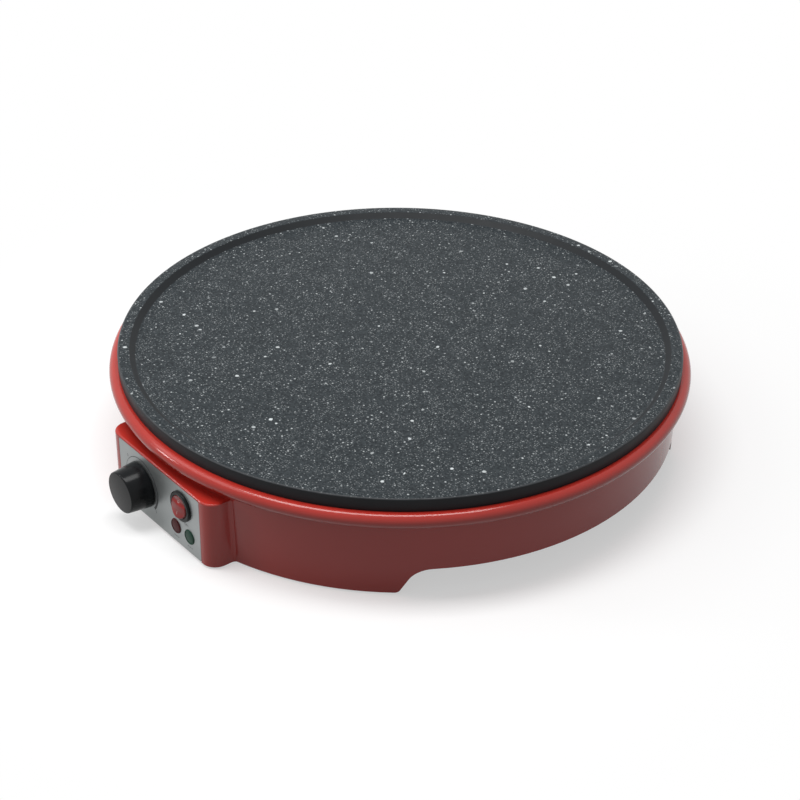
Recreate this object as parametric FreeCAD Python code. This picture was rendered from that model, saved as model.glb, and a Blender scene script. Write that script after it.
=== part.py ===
import FreeCAD, Part
import math
import os

# Electric crepe maker: a round cast plate on a red moulded base with a control box.
# Millimetres. The origin is on the table under the plate's axis, +Z is up and -Y is the front.

V = FreeCAD.Vector

# Cooking plate
PLATE_RADIUS = 192.5
PLATE_TOP_Z = 75.0
PLATE_SIDE_H = 9.45
PLATE_EDGE_ROUND = 1.2
LIP_WIDTH = 8.0
LIP_SLOPE_WIDTH = 4.0
LIP_HEIGHT = 3.7
PLATE_FLOOR_T = 5.0
SPIGOT_INSET = 6.0
SPIGOT_WIDTH = 4.0
SPIGOT_DEPTH = 4.0
BOSS_RADIUS = 14.0
BOSS_DEPTH = 15.5

# Heating element and the rib on the plate that holds it
ELEMENT_RING_R = 118.0
ELEMENT_R = 3.5
ELEMENT_PLAY = 0.1
ELEMENT_SINK = 4.3
RIB_HALF_WIDTH = 8.0
RIB_DEPTH = 5.8
ELEMENT_END_DEG = 8.0
ELEMENT_BEND_R = 9.0
ELEMENT_DROP = 10.0
PIN_R = 1.4
PIN_LENGTH = 9.0

# Reflector under the element
REFLECTOR_MARGIN = 22.0
REFLECTOR_T = 0.8
REFLECTOR_RIM_H = 4.0
REFLECTOR_PORT_R = 6.5

# Moulded base
RIM_CLEARANCE = 0.5
WALL_T = 2.8
SKIRT_Z = 1.5
WALL_INSET = 1.2
WALL_DRAFT = 1.6
BEAD_R = 5.2
BEAD_CENTRE_OUT = 1.1
RIM_FLOOR_FILLET = 1.0
GRIP_HALF_WIDTH = 123.6
GRIP_SHIFT = 4.4
GRIP_HEIGHT = 18.35
GRIP_SLOPE_DEG = 65.0
GRIP_TOP_R = 13.5
GRIP_FOOT_R = 3.0
PILLAR_ANGLE = 38.0
PILLAR_INSET = 8.9
PILLAR_R = 11.0
PILLAR_CORE_R = 8.0
PILLAR_FLOOR_T = 1.6
BOSS_ANGLES = (25.0, 90.0, 155.0)
SCREW_INSET = 4.1
SCREW_BOSS_R = 4.6
SCREW_BOSS_H = 24.0
SCREW_R = 1.6
SCREW_PLAY = 0.3
SCREW_HEAD_R = 3.2
SCREW_HEAD_H = 2.2
SCREW_LENGTH = 14.0

# Control box on the front
BOX_HALF_WIDTH = 58.2
BOX_OUT = 7.1
BOX_TOP_Z = 50.0
BOX_CORNER_R = 10.0
BOX_BLEND_R = 4.0
BOX_BLEND_SINK = 0.3
BOX_EDGE_ROUND = 1.2
BOX_REACH_IN = 48.0
FACEPLATE_HALF_WIDTH = 46.5
FACEPLATE_T = 0.8
FACEPLATE_LIFT = 0.4
FACEPLATE_TOP_Z = 48.4
FACEPLATE_CORNER_R = 1.2
FACEPLATE_GAP = 0.2

# Bottom cover
COVER_Z = 21.0
COVER_T = 1.5
COVER_PLAY = 1.1
TRAY_LIFT = 2.5
TRAY_PLAY = 0.5
VENT_COUNT = 24
VENT_RING_R = 92.0
VENT_LENGTH = 30.0
VENT_WIDTH = 4.0

# Rubber feet
FOOT_R = 8.0
FOOT_PLAY = 0.15
FOOT_SOCKET_DEPTH = 3.0
FOOT_CHAMFER = 0.6

# Centre fixing
STUD_R = 3.0
STUD_IN_BOSS = 11.0
STUD_PLAY = 0.3
NUT_FLATS = 10.0
NUT_H = 5.0
WASHER_R = 9.0
WASHER_T = 1.4
STUD_TAIL = 2.0

# Knob and thermostat
KNOB_X = -20.9
KNOB_Z = 25.1
KNOB_BASE_R = 16.0
KNOB_FACE_R = 14.3
KNOB_LENGTH = 16.3
KNOB_ROUND = 1.0
KNOB_GAP = 0.5
KNOB_WALL_T = 2.4
KNOB_FACE_T = 3.0
KNOB_HUB_R = 5.6
SHAFT_R = 3.0
SHAFT_FLAT = 2.2
SHAFT_GRIP = 7.5
RUN_CLEARANCE = 0.05
BUSH_R = 4.6
BUSH_PLAY = 0.4
BUSH_OUT = 3.2
THERMOSTAT_HALF = 17.0
THERMOSTAT_DEPTH = 22.0
THERMOSTAT_CORNER_R = 3.0
THERMOSTAT_NUT_FLATS = 13.0
THERMOSTAT_NUT_H = 2.4
SHAFT_IN_BODY = 10.0

# Thermostat bulb and its capillary
BULB_R = 3.0
BULB_LENGTH = 70.0
BULB_Y = -62.0
CAPILLARY_R = 0.9
CAPILLARY_BEND_R = 7.0
CAPILLARY_OUT = 8.0
CAPILLARY_X = -32.0
CLIP_T = 0.8
CLIP_WIDTH = 8.0
CLIP_FOOT = 7.0
CLIP_INSET = 14.0

# Rocker switch
SWITCH_X = 26.4
SWITCH_Z = 34.3
BEZEL_R = 10.7
BEZEL_OUT = 2.0
BEZEL_ROUND = 0.9
BARREL_R = 9.6
BARREL_DEPTH = 18.0
PANEL_PLAY = 0.2
ROCKER_R = 8.0
ROCKER_GAP = 0.25
ROCKER_OUT = 1.4
ROCKER_DISH_R = 24.0
ROCKER_DISH_DEPTH = 0.9
ROCKER_DEPTH = 3.0
ROCKER_PIVOT_IN = 0.6
ROCKER_TILT = 8.0
ROCKER_WELL = 8.5
TRUNNION_R = 1.0
TRUNNION_LENGTH = 1.0
BLADE_W = 4.8
BLADE_T = 0.8
BLADE_LENGTH = 8.0
BLADE_PITCH = 5.5

# Indicator lights
LIGHT_PITCH = 15.5
LIGHT_Z = 14.4
LIGHT_HEAD_R = 5.25
LIGHT_OUT = 0.9
LIGHT_BARREL_R = 4.7
LIGHT_DEPTH = 20.0
LIGHT_CLIP_R = 7.3
LIGHT_CLIP_T = 0.8

# Safety cut-out on the plate
CUTOUT_X = 62.0
CUTOUT_R = 8.0
CUTOUT_H = 7.0
CUTOUT_TAB_H = 3.5

# Cord inlet and terminal block at the rear
GLAND_Z = 34.0
GLAND_BORE_R = 3.6
GLAND_BARREL_HALF = 5.4
GLAND_FLANGE_R = 8.5
GLAND_FLANGE_T = 2.5
GLAND_COLLAR_R = 7.5
GLAND_COLLAR_T = 2.0
GLAND_PAD_R = 10.5
GLAND_PAD_OUT = 0.8
BLOCK_LENGTH = 34.0
BLOCK_WIDTH = 16.0
BLOCK_H = 12.0
BLOCK_INSET = 37.9
BLOCK_WAYS = 3
BLOCK_PORT_R = 1.8
BLOCK_SCREW_R = 1.7

# Radii and levels worked out from the sizes above
WALL_TOP_R = PLATE_RADIUS - WALL_INSET
WALL_FOOT_R = WALL_TOP_R - WALL_DRAFT
BOX_FACE_OUT = WALL_TOP_R + BOX_OUT
PILLAR_RING_R = WALL_FOOT_R - WALL_T - PILLAR_INSET
SCREW_RING_R = WALL_FOOT_R + WALL_DRAFT / 2 - WALL_T - SCREW_INSET
REFLECTOR_R = ELEMENT_RING_R + RIB_HALF_WIDTH + REFLECTOR_MARGIN
BLOCK_Y = WALL_FOOT_R - WALL_T - BLOCK_INSET + WALL_DRAFT / 2
SEAT_Z = PLATE_TOP_Z - PLATE_SIDE_H
FLOOR_Z = PLATE_TOP_Z - LIP_HEIGHT
UNDER_Z = FLOOR_Z - PLATE_FLOOR_T
BOSS_Z = UNDER_Z - BOSS_DEPTH
RIB_Z = UNDER_Z - RIB_DEPTH
ELEMENT_Z = UNDER_Z - ELEMENT_SINK
COVER_TOP_Z = COVER_Z + COVER_T
REFLECTOR_Z = BOSS_Z - REFLECTOR_T
SPIGOT_R = PLATE_RADIUS - SPIGOT_INSET
SEAT_R = SPIGOT_R + RIM_CLEARANCE
BEAD_CENTRE_R = PLATE_RADIUS + BEAD_CENTRE_OUT
BEAD_Z = SEAT_Z - BEAD_R
FACE_Y = -BOX_FACE_OUT
PANEL_Y = FACE_Y + WALL_T
RECESS_Y = FACE_Y + FACEPLATE_T
TRAY_BACK_Y = FACE_Y + BOX_REACH_IN
LIGHT_XS = (SWITCH_X - LIGHT_PITCH / 2, SWITCH_X + LIGHT_PITCH / 2)
PIVOT_Y = FACE_Y - ROCKER_PIVOT_IN
FULL = 360.0


def line(a, b):
    return Part.LineSegment(a, b).toShape()


def arc(a, middle, b):
    return Part.Arc(a, middle, b).toShape()


def rz(r, z):
    return V(r, 0, z)


def polar(radius, degrees, z=0.0):
    # degrees count from the front, towards +X
    turn = math.radians(degrees)
    return V(radius * math.sin(turn), -radius * math.cos(turn), z)


def face_from(edges):
    return Part.Face(Part.Wire(edges))


def chain(points):
    return [line(a, b) for a, b in zip(points, points[1:])]


def spin(edges):
    return face_from(edges).revolve(V(0, 0, 0), V(0, 0, 1), FULL)


def upright(radius, height, centre):
    return Part.makeCylinder(radius, height, centre, V(0, 0, 1))


def barrel(radius, x, z, y_front, y_back):
    return Part.makeCylinder(radius, y_back - y_front, V(x, y_front, z), V(0, 1, 0))


def block(x0, x1, y0, y1, z0, z1):
    return Part.makeBox(x1 - x0, y1 - y0, z1 - z0, V(x0, y0, z0))


def hexagon(flats, height, centre, axis):
    # a nut blank with one corner towards the side
    radius = flats / math.sqrt(3.0)
    corners = [V(radius * math.cos(k * math.pi / 3), radius * math.sin(k * math.pi / 3), 0) for k in range(6)]
    solid = Part.Face(Part.makePolygon(corners + corners[:1])).extrude(V(0, 0, height))
    solid.Placement = FreeCAD.Placement(centre, FreeCAD.Rotation(V(0, 0, 1), axis))
    return solid


def corner_arc(corner, along_in, along_out, radius):
    # the arc that rounds a corner: its start, middle and end
    a = V(along_in).normalize()
    b = V(along_out).normalize()
    half = a.getAngle(b) / 2
    reach = radius / math.tan(half)
    bisector = (a + b).normalize()
    centre = corner + bisector * (radius / math.sin(half))
    return corner + a * reach, centre - bisector * radius, corner + b * reach


def rounded_route(points, radius):
    # straight runs joined by tangent arcs
    edges = []
    here = points[0]
    for before, corner, after in zip(points, points[1:], points[2:]):
        start, middle, end = corner_arc(corner, before - corner, after - corner, radius)
        edges.append(line(here, start))
        edges.append(arc(start, middle, end))
        here = end
    edges.append(line(here, points[-1]))
    return edges


def tube(edges, radius):
    route = Part.Wire(edges)
    first = edges[0]
    start = route.OrderedVertexes[0].Point
    direction = first.tangentAt(first.FirstParameter)
    ring = Part.Wire(Part.makeCircle(radius, start, direction))
    return route.makePipeShell([ring], True, False)


def rounded_rectangle(x0, x1, z0, z1, y, radius):
    # an upright rectangle with rounded corners, facing the front
    corners = [V(x0, y, z0), V(x1, y, z0), V(x1, y, z1), V(x0, y, z1)]
    arcs = []
    for k, corner in enumerate(corners):
        before = corners[k - 1]
        after = corners[(k + 1) % 4]
        arcs.append(corner_arc(corner, before - corner, after - corner, radius))
    edges = []
    for k, (start, middle, end) in enumerate(arcs):
        edges.append(arc(start, middle, end))
        edges.append(line(end, arcs[(k + 1) % 4][0]))
    return face_from(edges)


def cooking_plate():
    lip_in = PLATE_RADIUS - LIP_WIDTH
    top = rz(PLATE_RADIUS - PLATE_EDGE_ROUND, PLATE_TOP_Z)
    side = rz(PLATE_RADIUS, PLATE_TOP_Z - PLATE_EDGE_ROUND)
    corner = rz(PLATE_RADIUS, PLATE_TOP_Z)
    round_centre = rz(PLATE_RADIUS - PLATE_EDGE_ROUND, PLATE_TOP_Z - PLATE_EDGE_ROUND)
    middle = round_centre + (corner - round_centre).normalize() * PLATE_EDGE_ROUND
    spigot_in = SPIGOT_R - SPIGOT_WIDTH
    surface = chain([rz(0, FLOOR_Z), rz(lip_in - LIP_SLOPE_WIDTH, FLOOR_Z), rz(lip_in, PLATE_TOP_Z), top])
    under = chain([
        side,
        rz(PLATE_RADIUS, SEAT_Z),
        rz(SPIGOT_R, SEAT_Z),
        rz(SPIGOT_R, SEAT_Z - SPIGOT_DEPTH),
        rz(spigot_in, SEAT_Z - SPIGOT_DEPTH),
        rz(spigot_in, UNDER_Z),
        rz(ELEMENT_RING_R + RIB_HALF_WIDTH, UNDER_Z),
        rz(ELEMENT_RING_R + RIB_HALF_WIDTH, RIB_Z),
        rz(ELEMENT_RING_R - RIB_HALF_WIDTH, RIB_Z),
        rz(ELEMENT_RING_R - RIB_HALF_WIDTH, UNDER_Z),
        rz(BOSS_RADIUS, UNDER_Z),
        rz(BOSS_RADIUS, BOSS_Z),
        rz(0, BOSS_Z),
        rz(0, FLOOR_Z),
    ])
    plate = spin(surface + [arc(top, middle, side)] + under)
    groove_r = ELEMENT_R + ELEMENT_PLAY
    ring = Part.makeTorus(ELEMENT_RING_R, groove_r, V(0, 0, ELEMENT_Z))
    channel = upright(ELEMENT_RING_R + groove_r, ELEMENT_Z - RIB_Z, V(0, 0, RIB_Z))
    channel = channel.cut(upright(ELEMENT_RING_R - groove_r, ELEMENT_Z - RIB_Z, V(0, 0, RIB_Z)))
    plate = plate.cut(ring.fuse(channel))
    return plate.cut(upright(STUD_R, STUD_IN_BOSS, V(0, 0, BOSS_Z)))


def element_end(side):
    # where the ring stops and the direction it runs there
    turn = side * ELEMENT_END_DEG
    point = polar(ELEMENT_RING_R, turn, ELEMENT_Z)
    ahead = V(-side * math.cos(math.radians(turn)), -side * math.sin(math.radians(turn)), 0)
    return point, ahead


def element_tail(side):
    # the quarter bend from the ring to the downward end
    point, ahead = element_end(side)
    low = point + ahead * ELEMENT_BEND_R + V(0, 0, -ELEMENT_BEND_R)
    centre = point + V(0, 0, -ELEMENT_BEND_R)
    bulge = (ahead + V(0, 0, 1)).normalize() * ELEMENT_BEND_R
    return point, centre + bulge, low


def element_foot(side):
    return element_tail(side)[2] + V(0, 0, -ELEMENT_DROP)


def heating_element():
    ring_a, bend_a, low_a = element_tail(1)
    ring_b, bend_b, low_b = element_tail(-1)
    far = polar(ELEMENT_RING_R, FULL / 2, ELEMENT_Z)
    edges = [
        line(element_foot(1), low_a),
        arc(low_a, bend_a, ring_a),
        arc(ring_a, far, ring_b),
        arc(ring_b, bend_b, low_b),
        line(low_b, element_foot(-1)),
    ]
    return tube(edges, ELEMENT_R)


def element_terminals():
    pins = [upright(PIN_R, PIN_LENGTH, element_foot(side) + V(0, 0, -PIN_LENGTH)) for side in (1, -1)]
    return Part.makeCompound(pins)


def heat_reflector():
    rim_r = REFLECTOR_R - REFLECTOR_T
    dish = spin(chain([
        rz(0, REFLECTOR_Z),
        rz(REFLECTOR_R, REFLECTOR_Z),
        rz(REFLECTOR_R, REFLECTOR_Z + REFLECTOR_RIM_H),
        rz(rim_r, REFLECTOR_Z + REFLECTOR_RIM_H),
        rz(rim_r, BOSS_Z),
        rz(0, BOSS_Z),
        rz(0, REFLECTOR_Z),
    ]))
    for side in (1, -1):
        port = element_foot(side)
        dish = dish.cut(upright(REFLECTOR_PORT_R, PLATE_TOP_Z, V(port.x, port.y, 0)))
    return dish.cut(upright(STUD_R + STUD_PLAY, PLATE_TOP_Z, V(0, 0, 0)))


def stud_foot_z():
    return COVER_Z - WASHER_T - NUT_H - STUD_TAIL


def tie_stud():
    foot = stud_foot_z()
    return upright(STUD_R, BOSS_Z + STUD_IN_BOSS - foot, V(0, 0, foot))


def tie_nuts():
    nuts = []
    for z in (REFLECTOR_Z - NUT_H, COVER_Z - WASHER_T - NUT_H):
        nut = hexagon(NUT_FLATS, NUT_H, V(0, 0, z), V(0, 0, 1))
        nuts.append(nut.cut(upright(STUD_R, NUT_H, V(0, 0, z))))
    return Part.makeCompound(nuts)


def tie_washer():
    z = COVER_Z - WASHER_T
    return upright(WASHER_R, WASHER_T, V(0, 0, z)).cut(upright(STUD_R + STUD_PLAY, WASHER_T, V(0, 0, z)))


def wall_radius(z):
    # outer radius of the drafted wall at a height
    share = (z - SKIRT_Z) / (BEAD_Z - BEAD_R - SKIRT_Z)
    return WALL_FOOT_R + (WALL_TOP_R - WALL_FOOT_R) * share


def bead_arc(radius):
    # half circle round the outside of the rolled rim, from its top to its underside
    top = rz(BEAD_CENTRE_R, BEAD_Z + radius)
    out = rz(BEAD_CENTRE_R + radius, BEAD_Z)
    low = rz(BEAD_CENTRE_R, BEAD_Z - radius)
    return top, out, low


def shell():
    top, out, low = bead_arc(BEAD_R)
    in_top, in_out, in_low = bead_arc(BEAD_R - WALL_T)
    under_z = low.z
    neck = rz(WALL_TOP_R + RIM_FLOOR_FILLET, under_z)
    neck_end = rz(WALL_TOP_R, under_z - RIM_FLOOR_FILLET)
    neck_centre = rz(neck.x, neck_end.z)
    neck_middle = neck_centre + V(-1, 0, 1).normalize() * RIM_FLOOR_FILLET
    edges = [line(rz(SEAT_R, SEAT_Z), top), arc(top, out, low)]
    edges += [line(low, neck), arc(neck, neck_middle, neck_end)]
    edges += chain([
        neck_end,
        rz(WALL_FOOT_R, SKIRT_Z),
        rz(WALL_FOOT_R - WALL_T, SKIRT_Z),
        rz(WALL_TOP_R - WALL_T, neck_end.z),
        in_low,
    ])
    edges += [arc(in_low, in_out, in_top)]
    edges += chain([in_top, rz(SEAT_R, in_top.z), rz(SEAT_R, SEAT_Z)])
    return spin(edges)


def cavity():
    # the space inside the wall, up to the underside of the seat
    top_z = SEAT_Z - WALL_T
    return spin(chain([
        rz(0, 0),
        rz(WALL_FOOT_R - WALL_T, 0),
        rz(WALL_FOOT_R - WALL_T, SKIRT_Z),
        rz(wall_radius(top_z) - WALL_T, top_z),
        rz(0, top_z),
        rz(0, 0),
    ]))


def grip_cutter():
    # side view of the two hand cut-outs, with an S-shaped edge at each end, run across the whole base
    slope = math.radians(GRIP_SLOPE_DEG)
    outline = {}
    for side in (1, -1):
        foot = V(0, side * GRIP_HALF_WIDTH + GRIP_SHIFT, SKIRT_Z)
        rise = V(0, -side * math.cos(slope), math.sin(slope))
        top = foot + rise * (GRIP_HEIGHT / math.sin(slope))
        outline[side] = (
            corner_arc(foot, V(0, side, 0), rise, GRIP_FOOT_R),
            corner_arc(top, rise * -1, V(0, -side, 0), GRIP_TOP_R),
        )
    (foot_a, high_a), (foot_b, high_b) = outline[1], outline[-1]
    drop = V(0, 0, -2 * SKIRT_Z)
    edges = [
        line(foot_a[0] + drop, foot_a[0]),
        arc(*foot_a),
        line(foot_a[2], high_a[0]),
        arc(*high_a),
        line(high_a[2], high_b[2]),
        arc(high_b[2], high_b[1], high_b[0]),
        line(high_b[0], foot_b[2]),
        arc(foot_b[2], foot_b[1], foot_b[0]),
        line(foot_b[0], foot_b[0] + drop),
        line(foot_b[0] + drop, foot_a[0] + drop),
    ]
    span = 2 * PLATE_RADIUS
    cutter = face_from(edges).extrude(V(2 * span, 0, 0))
    cutter.translate(V(-span, 0, 0))
    return cutter


def box_outline(z):
    # plan of the control box at a height, with a concave blend into the drafted wall
    wall = wall_radius(z) - BOX_BLEND_SINK
    face_x = BOX_HALF_WIDTH - BOX_CORNER_R
    turn = BOX_CORNER_R * math.sqrt(0.5)
    blend_x = BOX_HALF_WIDTH + BOX_BLEND_R
    blend_y = -math.sqrt((wall + BOX_BLEND_R) ** 2 - blend_x ** 2)
    centre = V(blend_x, blend_y, z)
    leave = V(BOX_HALF_WIDTH, blend_y, z)
    meet = centre * (wall / (wall + BOX_BLEND_R))
    meet.z = z
    swing = ((leave - centre) + (meet - centre)).normalize() * BOX_BLEND_R
    inner = meet * ((wall - WALL_T / 2) / wall)
    inner.z = z
    right = [
        V(face_x, FACE_Y, z),
        V(face_x + turn, FACE_Y + BOX_CORNER_R - turn, z),
        V(BOX_HALF_WIDTH, FACE_Y + BOX_CORNER_R, z),
        leave,
        centre + swing,
        meet,
        inner,
    ]
    left = [V(-p.x, p.y, p.z) for p in right]
    edges = [
        line(left[0], right[0]),
        arc(right[0], right[1], right[2]),
        line(right[2], right[3]),
        arc(right[3], right[4], right[5]),
        line(right[5], right[6]),
        line(right[6], left[6]),
        line(left[6], left[5]),
        arc(left[5], left[4], left[3]),
        line(left[3], left[2]),
        arc(left[2], left[1], left[0]),
    ]
    return Part.Wire(edges)


def box_outside():
    body = Part.makeLoft([box_outline(SKIRT_Z), box_outline(BOX_TOP_Z)], True, True)
    shown = []
    for edge in body.Edges:
        middle = edge.valueAt((edge.FirstParameter + edge.LastParameter) / 2)
        on_top = abs(middle.z - BOX_TOP_Z) < 1e-6
        buried = math.hypot(middle.x, middle.y) < wall_radius(BOX_TOP_Z) - BOX_BLEND_SINK
        if on_top and not buried:
            shown.append(edge)
    return body.makeFillet(BOX_EDGE_ROUND, shown)


def box_room(inset, y_back, z0, z1):
    # plan of the space inside the box, drawn in from its outside, as a solid
    half = BOX_HALF_WIDTH - inset
    front = FACE_Y + inset
    radius = BOX_CORNER_R - inset
    corners = [V(-half, y_back, z0), V(-half, front, z0), V(half, front, z0), V(half, y_back, z0)]
    edges = rounded_route(corners, radius)
    edges.append(line(corners[-1], corners[0]))
    return face_from(edges).extrude(V(0, 0, z1 - z0))


def faceplate_blank(grow, y_front, y_back):
    # the faceplate's outline, grown for the recess, run through a depth
    half = FACEPLATE_HALF_WIDTH + grow
    low = SKIRT_Z + FACEPLATE_LIFT
    if grow > 0:
        low = -SKIRT_Z
    face = rounded_rectangle(-half, half, low, FACEPLATE_TOP_Z + grow, y_front, FACEPLATE_CORNER_R)
    return face.extrude(V(0, y_back - y_front, 0))


def panel_holes(y_front, y_back):
    holes = barrel(BUSH_R + BUSH_PLAY, KNOB_X, KNOB_Z, y_front, y_back)
    holes = holes.fuse(barrel(BARREL_R + PANEL_PLAY, SWITCH_X, SWITCH_Z, y_front, y_back))
    for x in LIGHT_XS:
        holes = holes.fuse(barrel(LIGHT_BARREL_R + PANEL_PLAY, x, LIGHT_Z, y_front, y_back))
    return holes


def pillar_places():
    angles = (PILLAR_ANGLE, -PILLAR_ANGLE, 180 - PILLAR_ANGLE, PILLAR_ANGLE - 180)
    return [polar(PILLAR_RING_R, a) for a in angles]


def screw_places():
    return [polar(SCREW_RING_R, side * a) for a in BOSS_ANGLES for side in (1, -1)]


def gland_wall_y():
    return wall_radius(GLAND_Z)


def gland_stem(grow, y_front, y_back):
    # square stem of the cord bushing, which keeps it from turning in the wall
    half = GLAND_BARREL_HALF + grow
    return block(-half, half, y_front, y_back, GLAND_Z - half, GLAND_Z + half)


def base_housing():
    inside = cavity()
    body = shell().cut(grip_cutter())
    body = body.fuse(box_outside().cut(inside))
    body = body.cut(box_room(WALL_T, TRAY_BACK_Y, -SKIRT_Z, BOX_TOP_Z - WALL_T))
    for place in pillar_places():
        body = body.fuse(upright(PILLAR_R, COVER_Z - SKIRT_Z, place + V(0, 0, SKIRT_Z)))
        core_z = SKIRT_Z + FOOT_SOCKET_DEPTH + PILLAR_FLOOR_T
        body = body.cut(upright(PILLAR_CORE_R, COVER_Z - core_z, place + V(0, 0, core_z)))
        body = body.cut(upright(FOOT_R + FOOT_PLAY, FOOT_SOCKET_DEPTH, place + V(0, 0, SKIRT_Z)))
    for place in screw_places():
        body = body.fuse(upright(SCREW_BOSS_R, SCREW_BOSS_H, place + V(0, 0, COVER_TOP_Z)))
    for place in screw_places():
        body = body.cut(upright(SCREW_R, SCREW_LENGTH, place + V(0, 0, COVER_TOP_Z)))
    pad_y = gland_wall_y()
    pad = barrel(GLAND_PAD_R, 0, GLAND_Z, pad_y - WALL_T - GLAND_PAD_OUT, pad_y + GLAND_PAD_OUT)
    body = body.fuse(pad)
    body = body.cut(gland_stem(PANEL_PLAY, pad_y - BLOCK_WIDTH, pad_y + BLOCK_WIDTH))
    body = body.cut(faceplate_blank(FACEPLATE_GAP, FACE_Y - WALL_T, RECESS_Y))
    return body.cut(panel_holes(FACE_Y - WALL_T, PANEL_Y + WALL_T))


def faceplate():
    sheet = faceplate_blank(0, FACE_Y, RECESS_Y)
    return sheet.cut(panel_holes(FACE_Y - WALL_T, PANEL_Y + WALL_T))


def vent(degrees):
    start = VENT_RING_R - VENT_LENGTH / 2
    slot = block(start, start + VENT_LENGTH, -VENT_WIDTH / 2, VENT_WIDTH / 2, COVER_Z, COVER_TOP_Z)
    slot.rotate(V(0, 0, 0), V(0, 0, 1), degrees)
    return slot


def bottom_cover():
    cover_r = wall_radius(COVER_Z) - WALL_T - COVER_PLAY
    tray_z = SKIRT_Z + TRAY_LIFT
    outer = WALL_T + TRAY_PLAY
    disc = upright(cover_r, COVER_T, V(0, 0, COVER_Z))
    tray = box_room(outer, TRAY_BACK_Y, tray_z, COVER_TOP_Z)
    room = box_room(outer + COVER_T, TRAY_BACK_Y - COVER_T, tray_z + COVER_T, COVER_TOP_Z + COVER_T)
    cover = disc.fuse(tray).cut(room)
    mouth = BOX_HALF_WIDTH - BOX_CORNER_R
    cover = cover.cut(block(-mouth, mouth, FACE_Y, TRAY_BACK_Y - COVER_T, tray_z + COVER_T, COVER_TOP_Z))
    for place in screw_places():
        cover = cover.cut(upright(SCREW_R + SCREW_PLAY, COVER_T, place + V(0, 0, COVER_Z)))
    for k in range(VENT_COUNT):
        cover = cover.cut(vent(k * FULL / VENT_COUNT))
    return cover.cut(upright(STUD_R + STUD_PLAY, COVER_T, V(0, 0, COVER_Z)))


def cover_screws():
    screws = []
    for place in screw_places():
        head = upright(SCREW_HEAD_R, SCREW_HEAD_H, place + V(0, 0, COVER_Z - SCREW_HEAD_H))
        head = head.makeChamfer(SCREW_HEAD_H / 3, [head.Edges[2]])
        screws.append(head.fuse(upright(SCREW_R, SCREW_LENGTH, place + V(0, 0, COVER_Z))))
    return Part.makeCompound(screws)


def rubber_feet():
    feet = []
    for place in pillar_places():
        foot = upright(FOOT_R, SKIRT_Z + FOOT_SOCKET_DEPTH, place)
        feet.append(foot.makeChamfer(FOOT_CHAMFER, [foot.Edges[2]]))
    return Part.makeCompound(feet)


def knob_profile(points_yr):
    # a profile given as distance in front of the knob's back and radius, spun about the knob's axis
    back_y = FACE_Y - KNOB_GAP
    points = [V(KNOB_X + r, back_y - y, KNOB_Z) for y, r in points_yr]
    return face_from(chain(points + points[:1])).revolve(V(KNOB_X, 0, KNOB_Z), V(0, 1, 0), FULL)


def temperature_knob():
    cavity_depth = KNOB_LENGTH - KNOB_FACE_T
    taper = (KNOB_BASE_R - KNOB_FACE_R) / KNOB_LENGTH
    body = knob_profile([(0, 0), (0, KNOB_BASE_R), (KNOB_LENGTH, KNOB_FACE_R), (KNOB_LENGTH, 0)])
    rim = [e for e in body.Edges if abs(e.BoundBox.YMin - e.BoundBox.YMax) < 1e-6]
    front = min(rim, key=lambda e: e.BoundBox.YMin)
    body = body.makeFillet(KNOB_ROUND, [front])
    deep_r = KNOB_BASE_R - KNOB_WALL_T - taper * cavity_depth
    cavity = [(0, 0), (0, KNOB_BASE_R - KNOB_WALL_T), (cavity_depth, deep_r), (cavity_depth, 0)]
    body = body.cut(knob_profile(cavity))
    hub_front = FACE_Y - KNOB_GAP - KNOB_LENGTH + KNOB_FACE_T
    hub_back = FACE_Y - BUSH_OUT - KNOB_GAP
    body = body.fuse(barrel(KNOB_HUB_R, KNOB_X, KNOB_Z, hub_front, hub_back))
    return body.cut(shaft_blank(RUN_CLEARANCE / 2, shaft_front_y(), hub_back))


def shaft_front_y():
    return FACE_Y - BUSH_OUT - KNOB_GAP - SHAFT_GRIP


def shaft_blank(grow, y_front, y_back):
    # D-shaped bar
    flat = SHAFT_FLAT + grow
    bar = barrel(SHAFT_R + grow, KNOB_X, KNOB_Z, y_front, y_back)
    reach = KNOB_BASE_R
    keep = block(KNOB_X - reach, KNOB_X + reach, y_front, y_back, KNOB_Z - reach, KNOB_Z + flat)
    return bar.common(keep)


def thermostat_shaft():
    bush_front = FACE_Y - BUSH_OUT
    grip = shaft_blank(0, shaft_front_y(), bush_front)
    return grip.fuse(barrel(SHAFT_R, KNOB_X, KNOB_Z, bush_front, PANEL_Y + SHAFT_IN_BODY)).removeSplitter()


def thermostat_body():
    half = THERMOSTAT_HALF
    face = rounded_rectangle(
        KNOB_X - half, KNOB_X + half, KNOB_Z - half, KNOB_Z + half, PANEL_Y, THERMOSTAT_CORNER_R
    )
    body = face.extrude(V(0, THERMOSTAT_DEPTH, 0))
    body = body.fuse(barrel(BUSH_R, KNOB_X, KNOB_Z, FACE_Y - BUSH_OUT, PANEL_Y))
    bore_end = PANEL_Y + SHAFT_IN_BODY + RUN_CLEARANCE
    return body.cut(barrel(SHAFT_R + RUN_CLEARANCE, KNOB_X, KNOB_Z, FACE_Y - BUSH_OUT, bore_end))


def thermostat_nut():
    y = FACE_Y - THERMOSTAT_NUT_H
    nut = hexagon(THERMOSTAT_NUT_FLATS, THERMOSTAT_NUT_H, V(KNOB_X, y, KNOB_Z), V(0, 1, 0))
    return nut.cut(barrel(BUSH_R, KNOB_X, KNOB_Z, y, FACE_Y))


def bulb_axis_z():
    return UNDER_Z - BULB_R


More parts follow.
